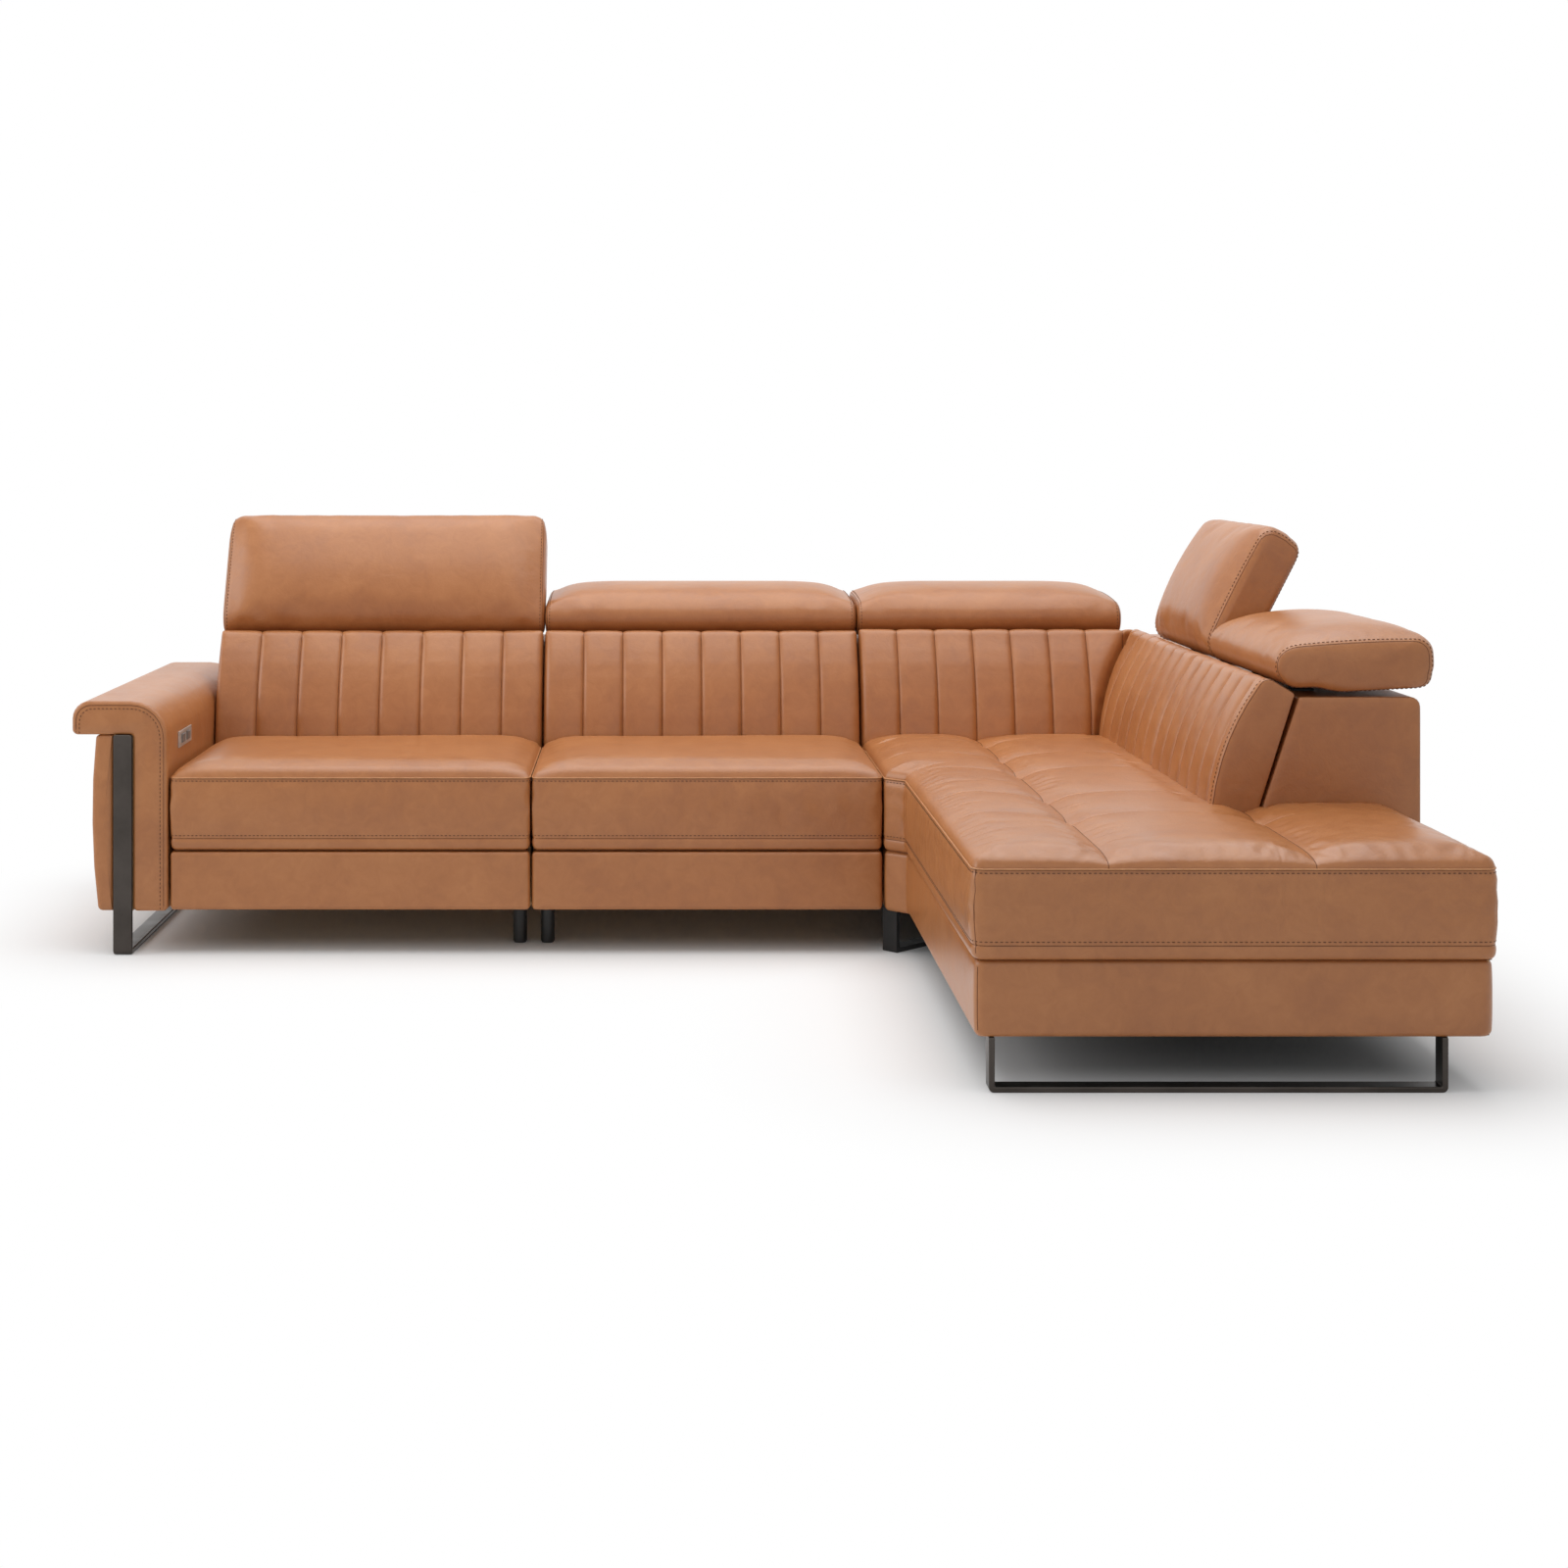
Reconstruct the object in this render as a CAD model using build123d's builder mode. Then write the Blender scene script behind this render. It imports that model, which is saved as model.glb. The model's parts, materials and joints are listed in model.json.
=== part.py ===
"""Leather corner sofa with a chaise: two powered recliner seats, five folding headrests, metal legs."""
import os
from math import cos, radians, sin

from build123d import *

os.makedirs("parts", exist_ok=True)

# Widths along the wall, from the outside of the arm to the outside of the side back
arm_overhang = 45
arm_outer_thick = 50
band_width = 46
arm_pad_thick = 84
left_width = 842
middle_width = 820
corner_step = 46
chaise_width = 965
side_back_proud = 30
corner_width = corner_step + chaise_width + side_back_proud

# Depths
sofa_depth = 1010
chaise_reach = 1186
side_back_reach = 648
side_back_split = 39

# Heights
base_bottom = 102
base_top = 243
seam_height = 410
crown_height = 444
chaise_crown = 438
arm_top = 590
arm_overhang_bottom = 512
shell_top = 668

# Clearances between units and between pieces
hard_inset = 3
soft_inset = 2
fit_gap = 0.3
hinge_gap = 0.2
slide_gap = 0.4
overcut = 1

# Back shells and cushions, measured forward from the outside of the back
shell_top_depth = 250
shell_slope = 0.335
shell_wall = 20
cushion_rear_gap = 0.6
cushion_faces = [(300, 438), (443, 428), (533, 412), (606, 388), (670, 353), (716, 316)]
cushion_top_front = (316, 709)
cushion_top_rear = (252, 665)
channel_bulge = 8
seat_rear_depth = 442
seat_depth = sofa_depth - seat_rear_depth

# Headrests, swung on a pin in the middle of the rounded lower edge
headrest_nose = 46
headrest_reach = 288
headrest_corner = 36
headrest_crown = 12
pivot_depth = 250
pivot_height = 732
folded_tilt = 3
raised_tilt = 63
corner_headrest_end = 697
side_headrest_start = 450
headrest_hinge_inset = 150
headrest_pin = 6
strap_thick = 6
strap_eye = 14
strap_slot = 9
arm_plate_thick = 5
arm_plate_start = 8
arm_plate_reach = 150
arm_plate_half = 11

# Recliner: seat pan on rails, back hung from its top edge, footrest on folding links
board_thick = 22
pan_thick = 20.7
pan_front = 60
rail_top = 210
back_pin_depth = 258
back_pin_height = 676
back_pin = 4
back_hinge_inset = 260
back_board_thick = 12
back_board_gap = 0.8
back_board_heights = (320, 640)
link_pivot = (80, 205)
link_length = 92
link_half = 10
link_thick = 6
link_pin = 5
footrest_thick = 26
footrest_board_thick = 12
footrest_board_inset = 10
footrest_board_raise = 6
footrest_board_drop = 17
footrest_pad_raise = 2
footrest_pad_drop = 3
footrest_pad_bevel = (8, 10)
footrest_pad_edge = 6
motor_height = 165

# Legs
leg_diameter = 33
glide_height = 4
bar_thick = 11
chaise_bar_depth = 40
chaise_leg_inset = 4
bar_bend = 10
chaise_loop_left = 32
chaise_loop_width = 841
corner_bar_width = 42
corner_loop_length = 300
corner_leg_from_joint = 18
corner_leg_from_front = 36
corner_bar_round = 3
glide_inset = 2
leg_from_joint = 33
leg_from_front = 150
leg_from_back = 150

# Arm switch
switch_length = 150
switch_tall = 38
switch_plate_thick = 3
switch_from_front = 200
switch_height = 485
button_length = 34
button_tall = 20
button_depth = 9
button_gap = 0.4
button_spacing = 60

# Planes that the pieces share; the origin is on the floor under the middle of the sofa
tilt = radians(folded_tilt)
headrest_overhang = (
    (headrest_reach - headrest_corner) * cos(tilt)
    + (headrest_nose - headrest_corner) * sin(tilt)
    + headrest_corner
    - pivot_depth
)
arm_width = arm_overhang + arm_outer_thick + band_width + arm_pad_thick
total_width = arm_width + left_width + middle_width + corner_width + headrest_overhang
total_depth = chaise_reach + sofa_depth + headrest_overhang
x_arm = -total_width / 2
x_left = x_arm + arm_width
x_middle = x_left + left_width
x_corner = x_middle + middle_width
x_side = x_corner + corner_width
x_chaise = x_corner + corner_step
x_chaise_right = x_chaise + chaise_width
y_chaise = -total_depth / 2
y_front = y_chaise + chaise_reach
y_back = y_front + sofa_depth
y_side_end = y_front - side_back_reach
y_side_split = y_front - side_back_split

home_left = Plane(origin=(x_left, y_back, 0), x_dir=(1, 0, 0), z_dir=(0, 0, 1))
home_middle = Plane(origin=(x_middle, y_back, 0), x_dir=(1, 0, 0), z_dir=(0, 0, 1))
home_corner = Plane(origin=(x_corner, y_back, 0), x_dir=(1, 0, 0), z_dir=(0, 0, 1))
home_side = Plane(origin=(x_side, y_back, 0), x_dir=(0, -1, 0), z_dir=(0, 0, 1))
mitre = Plane(origin=(x_side, y_back, 0), x_dir=(0, 0, 1), z_dir=(-1, 1, 0))
side_split = y_back - y_side_split
side_end = y_back - y_side_end


def keep(piece, name):
    piece.part.label = name
    export_step(piece.part, f"parts/{name}.step")


def end_plane(home, along):
    """Upright plane across a back: x runs rearward from its outside, y is height."""
    return Plane(origin=home.origin + home.x_dir * along, x_dir=home.y_dir, z_dir=home.x_dir)


def level_plane(home, height):
    """Level plane of a back: x runs along it, y runs rearward from its outside."""
    return Plane(origin=home.origin + Vector(0, 0, height), x_dir=home.x_dir, z_dir=(0, 0, 1))


def pivot_plane(home, along, lean):
    """Upright plane on a headrest's pin: x runs from its nose to its far edge."""
    rear = home.y_dir * cos(radians(lean)) + Vector(0, 0, sin(radians(lean)))
    pin = home.origin + home.x_dir * along - home.y_dir * pivot_depth + Vector(0, 0, pivot_height)
    return Plane(origin=pin, x_dir=rear, z_dir=home.x_dir)


def front_plane(y):
    """Upright plane across the sofa: x runs to the right, y is height, seen from the front."""
    return Plane(origin=(0, y, 0), x_dir=(1, 0, 0), z_dir=(0, -1, 0))


def shell_front(height):
    return shell_top_depth + (shell_top - height) * shell_slope


def block(x_range, y_range, z_range, mode=Mode.ADD):
    """A box between two values on each axis."""
    size = [high - low for low, high in (x_range, y_range, z_range)]
    middle = [(high + low) / 2 for low, high in (x_range, y_range, z_range)]
    with Locations(tuple(middle)):
        Box(*size, mode=mode)


def both_sides(x_unit, width, near, far):
    """Start and thickness of a layer at the same place inside each side of a seat unit."""
    return [(x_unit + near, far - near), (x_unit + width - far, far - near)]


def inset_outline(points, gap):
    """An anticlockwise outline with every side moved inward by the gap."""
    lines = []
    for (x_a, y_a), (x_b, y_b) in zip(points, points[1:] + points[:1]):
        length = ((x_b - x_a) ** 2 + (y_b - y_a) ** 2) ** 0.5
        normal = ((y_a - y_b) / length, (x_b - x_a) / length)
        lines.append((normal[0], normal[1], normal[0] * x_a + normal[1] * y_a + gap))
    corners = []
    for (a, b, c), (d, e, f) in zip(lines[-1:] + lines[:-1], lines):
        turn = a * e - b * d
        corners.append(((c * e - b * f) / turn, (a * f - c * d) / turn))
    return corners


# Arm: a hooked inner pad over a metal band, with a tapered pad outside it
x_pad_inside = x_left - hard_inset
x_band = x_arm + arm_overhang + arm_outer_thick
x_band_right = x_band + band_width
arm_round = 86
arm_tip_round = 22
switch_y = (y_front + switch_from_front - switch_length / 2, y_front + switch_from_front + switch_length / 2)
switch_z = (switch_height - switch_tall / 2, switch_height + switch_tall / 2)
button_ys = [y_front + switch_from_front + side * button_spacing / 2 for side in (-1, 1)]
pocket_rim = 6

with BuildPart() as arm_inner_pad:
    with BuildSketch(front_plane(y_front)) as hook:
        with BuildLine():
            Polyline(
                (x_pad_inside, arm_top),
                (x_arm, arm_top),
                (x_arm, arm_overhang_bottom),
                (x_band_right, arm_overhang_bottom),
                (x_band_right, base_bottom),
                (x_pad_inside, base_bottom),
                close=True,
            )
        make_face()
        fillet(hook.vertices().group_by(Axis.Y)[-1].sort_by(Axis.X)[-1], arm_round)
        fillet(hook.vertices().group_by(Axis.X)[0], arm_tip_round)
    extrude(amount=-sofa_depth)
    block(
        (x_pad_inside - button_depth - pocket_rim, x_pad_inside + overcut),
        (switch_y[0] + pocket_rim, switch_y[1] - pocket_rim),
        (switch_z[0] + pocket_rim, switch_z[1] - pocket_rim),
        Mode.SUBTRACT,
    )
keep(arm_inner_pad, "arm_inner_pad")

outer_taper = 16
with BuildPart() as arm_outer_panel:
    with BuildSketch(front_plane(y_front + hard_inset)) as taper:
        with BuildLine():
            Polyline(
                (x_band - fit_gap, base_bottom),
                (x_band - fit_gap, arm_overhang_bottom - fit_gap),
                (x_band - arm_outer_thick, arm_overhang_bottom - fit_gap),
                (x_band - arm_outer_thick + outer_taper, base_bottom),
                close=True,
            )
        make_face()
        fillet(taper.vertices().group_by(Axis.Y)[0].sort_by(Axis.X)[0], outer_taper)
    extrude(amount=-(sofa_depth - 2 * hard_inset))
keep(arm_outer_panel, "arm_outer_panel")

band_thick = 12
band_proud = 4
with BuildPart() as arm_metal_frame:
    with BuildSketch(Plane.YZ.offset(x_band + fit_gap)) as loop:
        with BuildLine():
            Polyline(
                (y_front - band_proud, arm_overhang_bottom - fit_gap),
                (y_front - band_proud, 0),
                (y_back + band_proud, 0),
                (y_back + band_proud, arm_overhang_bottom - fit_gap),
                (y_back + band_proud - band_thick, arm_overhang_bottom - fit_gap),
                (y_back + band_proud - band_thick, band_thick),
                (y_front - band_proud + band_thick, band_thick),
                (y_front - band_proud + band_thick, arm_overhang_bottom - fit_gap),
                close=True,
            )
        make_face()
        fillet(loop.vertices().group_by(Axis.Y)[0], band_thick)
    extrude(amount=band_width - 2 * fit_gap)
keep(arm_metal_frame, "arm_metal_frame")

with BuildPart() as arm_core_board:
    block(
        (x_band + fit_gap, x_band_right - fit_gap),
        (y_front + band_thick - band_proud + fit_gap, y_back - band_thick + band_proud - fit_gap),
        (base_bottom + fit_gap, arm_overhang_bottom - fit_gap),
    )
keep(arm_core_board, "arm_core_board")

with BuildPart() as switch_plate:
    block((x_pad_inside, x_pad_inside + switch_plate_thick), switch_y, switch_z)
    for y in button_ys:
        block(
            (x_pad_inside - overcut, x_pad_inside + switch_plate_thick + overcut),
            (y - button_length / 2 - button_gap, y + button_length / 2 + button_gap),
            (switch_height - button_tall / 2 - button_gap, switch_height + button_tall / 2 + button_gap),
            Mode.SUBTRACT,
        )
keep(switch_plate, "switch_plate")

button_proud = 3
button_edge = 1.5
for name, y in zip(("open_button", "close_button"), button_ys):
    x_face = x_pad_inside + switch_plate_thick + button_proud
    with BuildPart() as button:
        block(
            (x_face - button_depth, x_face),
            (y - button_length / 2, y + button_length / 2),
            (switch_height - button_tall / 2, switch_height + button_tall / 2),
        )
        fillet(button.faces().sort_by(Axis.X)[-1].edges(), button_edge)
    keep(button, name)

# Base frames of the two recliners: side boards, rear rail and a low front rail
rear_inset = 25
front_rail = (140, 162)
front_rail_top = 140
board_raise = 2
board_bottom = base_bottom + board_raise
board_top = base_top - slide_gap
y_rear_rail = (y_back - rear_inset - board_thick, y_back - rear_inset)
for name, x_unit, width in (("left", x_left, left_width), ("middle", x_middle, middle_width)):
    inner = (x_unit + hard_inset + board_thick, x_unit + width - hard_inset - board_thick)
    with BuildPart() as base_frame:
        for start, thick in both_sides(x_unit, width, hard_inset, hard_inset + board_thick):
            block(
                (start, start + thick),
                (y_front + pan_front, y_back - rear_inset),
                (board_bottom, board_top),
            )
        rail_span = (inner[0] + fit_gap, inner[1] - fit_gap)
        block(rail_span, y_rear_rail, (board_bottom, board_top))
        block(rail_span, (y_front + front_rail[0], y_front + front_rail[1]), (board_bottom, front_rail_top))
    keep(base_frame, f"{name}_base_frame")

# Corner and chaise base: a padded skirt round a board frame, with a deck above and a cover below
skirt_inset = 5
skirt_thick = 10
skirt_round = 14
base_outline = [
    (x_chaise + skirt_inset, y_chaise + skirt_inset),
    (x_chaise_right - skirt_inset, y_chaise + skirt_inset),
    (x_chaise_right - skirt_inset, y_side_end + skirt_inset),
    (x_side - skirt_inset, y_side_end + skirt_inset),
    (x_side - skirt_inset, y_back - skirt_inset),
    (x_corner + hard_inset, y_back - skirt_inset),
    (x_corner + hard_inset, y_front + skirt_inset),
    (x_chaise + skirt_inset, y_front + skirt_inset - corner_step),
]
deck_bottom = 228
dust_cover_z = (104.2, 105.4)
frame_thick = 24

with BuildPart() as corner_base_cover:
    with BuildSketch(Plane.XY.offset(base_bottom)) as skirt:
        Polygon(*base_outline, align=None)
        fillet(skirt.vertices(), skirt_round)
    extrude(amount=board_top - base_bottom)
    with BuildSketch(Plane.XY.offset(base_bottom)):
        Polygon(*inset_outline(base_outline, skirt_thick), align=None)
    extrude(amount=board_top - base_bottom, mode=Mode.SUBTRACT)
keep(corner_base_cover, "corner_base_cover")

with BuildPart() as corner_dust_cover:
    with BuildSketch(Plane.XY.offset(dust_cover_z[0])):
        Polygon(*inset_outline(base_outline, skirt_thick + fit_gap), align=None)
    extrude(amount=dust_cover_z[1] - dust_cover_z[0])
keep(corner_dust_cover, "corner_dust_cover")

with BuildPart() as corner_seat_deck:
    with BuildSketch(Plane.XY.offset(deck_bottom)):
        Polygon(*inset_outline(base_outline, skirt_thick + fit_gap), align=None)
    extrude(amount=board_top - deck_bottom)
keep(corner_seat_deck, "corner_seat_deck")

with BuildPart() as corner_base_frame:
    boards_z = (dust_cover_z[1] + fit_gap, deck_bottom - fit_gap)
    reach = skirt_inset + skirt_thick + fit_gap
    front_board = (y_chaise + reach, y_chaise + reach + frame_thick)
    rear_board = (y_back - reach - frame_thick, y_back - reach)
    left_board = (x_chaise + reach, x_chaise + reach + frame_thick)
    right_board = (x_chaise_right - reach - frame_thick, x_chaise_right - reach)
    cross_board = (y_front + corner_step, y_front + corner_step + frame_thick)
    block((left_board[0], right_board[1]), front_board, boards_z)
    block(left_board, (front_board[1] + fit_gap, y_front - corner_step), boards_z)
    block(right_board, (front_board[1] + fit_gap, rear_board[0] - fit_gap), boards_z)
    block((x_corner + reach, right_board[0] - fit_gap), cross_board, boards_z)
    block((x_corner + reach, right_board[1]), rear_board, boards_z)
keep(corner_base_frame, "corner_base_frame")


# Back shells: closed hollow boxes with a leaning front, standing on the bases
def back_shell(name, home, start, end, mitred=None):
    with BuildPart() as shell:
        with BuildSketch(end_plane(home, start)) as profile:
            with BuildLine():
                Polyline(
                    (0, base_top),
                    (0, shell_top),
                    (-shell_top_depth, shell_top),
                    (-shell_front(base_top), base_top),
                    close=True,
                )
            make_face()
            fillet(profile.vertices().group_by(Axis.X)[-1].sort_by(Axis.Y)[-1], shell_wall)
        extrude(amount=end - start)
        with BuildSketch(end_plane(home, start + shell_wall)):
            with BuildLine():
                Polyline(
                    (-shell_wall, base_top + shell_wall),
                    (-shell_wall, shell_top - shell_wall),
                    (shell_wall - shell_top_depth, shell_top - shell_wall),
                    (shell_wall - shell_front(base_top + shell_wall), base_top + shell_wall),
                    close=True,
                )
            make_face()
        extrude(amount=end - start - 2 * shell_wall, mode=Mode.SUBTRACT)
        if mitred:
            split(bisect_by=mitred[0], keep=mitred[1])
    keep(shell, name)


back_shell("left_back_shell", home_left, hard_inset, left_width - hard_inset)
back_shell("middle_back_shell", home_middle, hard_inset, middle_width - hard_inset)
back_shell("corner_back_shell", home_corner, hard_inset, corner_width, (mitre.offset(fit_gap), Keep.TOP))
back_shell("side_back_shell", home_side, 0, side_end, (mitre.offset(-fit_gap), Keep.BOTTOM))


# Back cushions: upright channels, a bowed face and a top that slopes back under the headrest
def back_cushion(name, home, start, end, channels, plain_band=0, mitred=None, recliner=False):
    notch_half = 16
    notch_depth = 28
    notch_bottom = 590
    slope = (cushion_top_front[1] - cushion_top_rear[1]) / (cushion_top_front[0] - cushion_top_rear[0])
    reach = 40
    with BuildPart() as cushion:
        for height, face in cushion_faces:
            rear = shell_front(height) + cushion_rear_gap
            seam = face - channel_bulge
            pitch = (end - plain_band - start) / channels
            with BuildSketch(level_plane(home, height)):
                with BuildLine():
                    Line((start, -rear), (start, -seam))
                    for i in range(channels):
                        near = start + i * pitch
                        ThreePointArc((near, -seam), (near + pitch / 2, -face), (near + pitch, -seam))
                    if plain_band:
                        Line((end - plain_band, -seam), (end, -seam))
                    Line((end, -seam), (end, -rear))
                    Line((end, -rear), (start, -rear))
                make_face()
        loft()
        with BuildSketch(end_plane(home, start - overcut)):
            with BuildLine():
                Polyline(
                    (-cushion_top_front[0] - reach, cushion_top_front[1] + reach * slope),
                    (-cushion_top_rear[0] + reach, cushion_top_rear[1] - reach * slope),
                    (-cushion_top_rear[0] + reach, pivot_height),
                    (-cushion_top_front[0] - reach, pivot_height + reach),
                    close=True,
                )
            make_face()
        extrude(amount=end - start + 2 * overcut, mode=Mode.SUBTRACT)
        if recliner:
            low, high = back_board_heights
            deep = back_board_thick + back_board_gap + fit_gap
            with BuildSketch(end_plane(home, back_board_inset - fit_gap)):
                with BuildLine():
                    Polyline(
                        (overcut - shell_front(low - fit_gap), low - fit_gap),
                        (overcut - shell_front(high + fit_gap), high + fit_gap),
                        (-shell_front(high + fit_gap) - deep, high + fit_gap),
                        (-shell_front(low - fit_gap) - deep, low - fit_gap),
                        close=True,
                    )
                make_face()
            extrude(amount=end + start - 2 * back_board_inset + 2 * fit_gap, mode=Mode.SUBTRACT)
            for along in (back_hinge_inset, end + start - back_hinge_inset):
                with BuildSketch(end_plane(home, along - notch_half)):
                    with BuildLine():
                        Polyline(
                            (overcut - shell_top_depth + reach, shell_top + reach),
                            (-back_pin_depth - notch_depth, shell_top + reach),
                            (-shell_front(notch_bottom) - notch_depth, notch_bottom),
                            (overcut - shell_front(notch_bottom), notch_bottom),
                            close=True,
                        )
                    make_face()
                extrude(amount=2 * notch_half, mode=Mode.SUBTRACT)
        if mitred:
            split(bisect_by=mitred[0], keep=mitred[1])
    keep(cushion, name)


back_board_inset = 30
cushion_mitre_gap = 1
side_plain_band = 60
back_cushion("left_back_cushion", home_left, soft_inset, left_width - soft_inset, 8, recliner=True)
back_cushion("middle_back_cushion", home_middle, soft_inset, middle_width - soft_inset, 8, recliner=True)
back_cushion(
    "corner_back_cushion",
    home_corner,
    soft_inset,
    corner_width - shell_top_depth,
    8,
    mitred=(mitre.offset(cushion_mitre_gap), Keep.TOP),
)
back_cushion(
    "side_rear_back_cushion",
    home_side,
    shell_top_depth,
    side_split - soft_inset,
    8,
    mitred=(mitre.offset(-cushion_mitre_gap), Keep.BOTTOM),
)
back_cushion(
    "side_front_back_cushion",
    home_side,
    side_split + soft_inset,
    side_end - soft_inset,
    6,
    side_plain_band,
)


# Recliner backs: a board behind each cushion, hung from two pins over the shell
for name, home, width in (("left", home_left, left_width), ("middle", home_middle, middle_width)):
    low, high = back_board_heights
    ear_layers = ((-9, -4), (4, 9))
    eye = 8
    ear_foot = 610
    ear_seat = (-shell_front(ear_foot) - back_board_gap - back_board_thick / 2, ear_foot)
    with BuildPart() as back_panel:
        with BuildSketch(end_plane(home, back_board_inset)):
            with BuildLine():
                Polyline(
                    (-shell_front(low) - back_board_gap, low),
                    (-shell_front(high) - back_board_gap, high),
                    (-shell_front(high) - back_board_gap - back_board_thick, high),
                    (-shell_front(low) - back_board_gap - back_board_thick, low),
                    close=True,
                )
            make_face()
        extrude(amount=width - 2 * back_board_inset)
        for along in (back_hinge_inset, width - back_hinge_inset):
            for near, far in ear_layers:
                with BuildSketch(end_plane(home, along + near)):
                    with Locations((-back_pin_depth, back_pin_height)):
                        Circle(eye)
                    with Locations(ear_seat):
                        Circle(back_board_thick / 2)
                    make_hull()
                extrude(amount=far - near)
            with BuildSketch(end_plane(home, along + ear_layers[0][0])):
                with Locations((-back_pin_depth, back_pin_height)):
                    Circle(back_pin)
            extrude(amount=ear_layers[1][1] - ear_layers[0][0])
    keep(back_panel, f"{name}_back_panel")

bracket_foot = (215, 245)
foot_thick = 4
with BuildPart() as back_hinge_brackets:
    for home, width in ((home_left, left_width), (home_middle, middle_width)):
        for along in (back_hinge_inset, width - back_hinge_inset):
            with BuildSketch(end_plane(home, along - strap_thick / 2)):
                with Locations((-back_pin_depth, back_pin_height)):
                    Circle(eye)
                with Locations((-sum(bracket_foot) / 2, shell_top + foot_thick / 2)):
                    Rectangle(bracket_foot[1] - bracket_foot[0], foot_thick)
                make_hull()
                with Locations((-back_pin_depth, back_pin_height)):
                    Circle(back_pin + hinge_gap, mode=Mode.SUBTRACT)
            extrude(amount=strap_thick)
keep(back_hinge_brackets, "back_hinge_brackets")


# Headrests: crowned pads on steel arms, pinned to straps that stand on the shells
def headrest_outline(inset, crown):
    nose = headrest_nose - inset
    tip = headrest_reach - inset
    bend = headrest_corner * (1 - cos(radians(45)))
    straight = tip - headrest_corner
    slant = nose * cos(radians(45))
    with BuildLine() as outline:
        ThreePointArc((0, nose), (straight / 2, nose + crown), (straight, nose))
        ThreePointArc((straight, nose), (tip - bend, nose - bend), (tip, nose - headrest_corner))
        Line((tip, nose - headrest_corner), (tip, headrest_corner - nose))
        ThreePointArc((tip, headrest_corner - nose), (tip - bend, bend - nose), (straight, -nose))
        Line((straight, -nose), (0, -nose))
        ThreePointArc((0, -nose), (-slant, -slant), (-nose, 0))
        ThreePointArc((-nose, 0), (-slant, slant), (0, nose))
    return outline.edges()


def headrest(name, home, start, end, lean):
    length = end - start
    drawn_in = 7
    edge = 20
    stations = [
        (start, drawn_in, 1),
        (start + edge, 0, headrest_crown / 3),
        (start + length / 4, 0, headrest_crown * 0.85),
        (start + length / 2, 0, headrest_crown),
        (end - length / 4, 0, headrest_crown * 0.85),
        (end - edge, 0, headrest_crown / 3),
        (end, drawn_in, 1),
    ]
    hinges = (start + headrest_hinge_inset, end - headrest_hinge_inset)
    pin_start = -18
    arm_end = arm_plate_start + arm_plate_thick
    room = 0.4
    slot_reach = 150
    slot_angles = (-14, -62, -112, -164)
    slot_round = 24
    with BuildPart() as pad:
        for along, inset, crown in stations:
            with BuildSketch(pivot_plane(home, along, lean)):
                make_face(headrest_outline(inset, crown))
        loft(ruled=True)
        for along in hinges:
            with BuildSketch(pivot_plane(home, along - strap_slot / 2, lean)):
                rays = [(slot_reach * cos(radians(a)), slot_reach * sin(radians(a))) for a in slot_angles]
                Polygon((0, 0), *rays, align=None)
                Circle(slot_round)
            extrude(amount=strap_slot, mode=Mode.SUBTRACT)
            with BuildSketch(pivot_plane(home, along + pin_start - room, lean)):
                Circle(headrest_pin + hinge_gap)
            extrude(amount=arm_end - pin_start + 2 * room, mode=Mode.SUBTRACT)
            with BuildSketch(pivot_plane(home, along + arm_plate_start - room, lean)):
                with Locations(((arm_plate_reach - arm_plate_half) / 2, 0)):
                    Rectangle(arm_plate_reach + arm_plate_half + 2 * room, 2 * (arm_plate_half + room))
            extrude(amount=arm_plate_thick + 2 * room, mode=Mode.SUBTRACT)
    keep(pad, f"{name}_headrest_pad")
    with BuildPart() as arms:
        for along in hinges:
            with BuildSketch(pivot_plane(home, along + arm_plate_start, lean)):
                Circle(arm_plate_half)
                with Locations((arm_plate_reach / 2, 0)):
                    Rectangle(arm_plate_reach, 2 * arm_plate_half)
            extrude(amount=arm_plate_thick)
            with BuildSketch(pivot_plane(home, along + pin_start, lean)):
                Circle(headrest_pin)
            extrude(amount=arm_end - pin_start)
    keep(arms, f"{name}_headrest_arms")
    return [(home, along) for along in hinges]


hinge_places = []
for name, home, start, end, lean in (
    ("left", home_left, soft_inset, left_width - soft_inset, raised_tilt),
    ("middle", home_middle, soft_inset, middle_width - soft_inset, folded_tilt),
    ("corner", home_corner, soft_inset, corner_headrest_end, folded_tilt),
    ("side_rear", home_side, side_headrest_start, side_split - soft_inset, raised_tilt),
    ("side_front", home_side, side_split + soft_inset, side_end - soft_inset, folded_tilt),
):
    hinge_places += headrest(name, home, start, end, lean)

strap_foot = (183, 227)
strap_foot_half = 20
with BuildPart() as headrest_straps:
    for home, along in hinge_places:
        with BuildSketch(end_plane(home, along - strap_thick / 2)):
            with Locations((-pivot_depth, pivot_height)):
                Circle(strap_eye)
            with Locations((-sum(strap_foot) / 2, shell_top + foot_thick / 2)):
                Rectangle(strap_foot[1] - strap_foot[0], foot_thick)
            make_hull()
            with Locations((-pivot_depth, pivot_height)):
                Circle(headrest_pin + hinge_gap, mode=Mode.SUBTRACT)
        extrude(amount=strap_thick)
        with BuildSketch(end_plane(home, along - strap_foot_half)):
            with Locations((-sum(strap_foot) / 2, shell_top + foot_thick / 2)):
                Rectangle(strap_foot[1] - strap_foot[0], foot_thick)
        extrude(amount=2 * strap_foot_half)
keep(headrest_straps, "headrest_straps")


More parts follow.
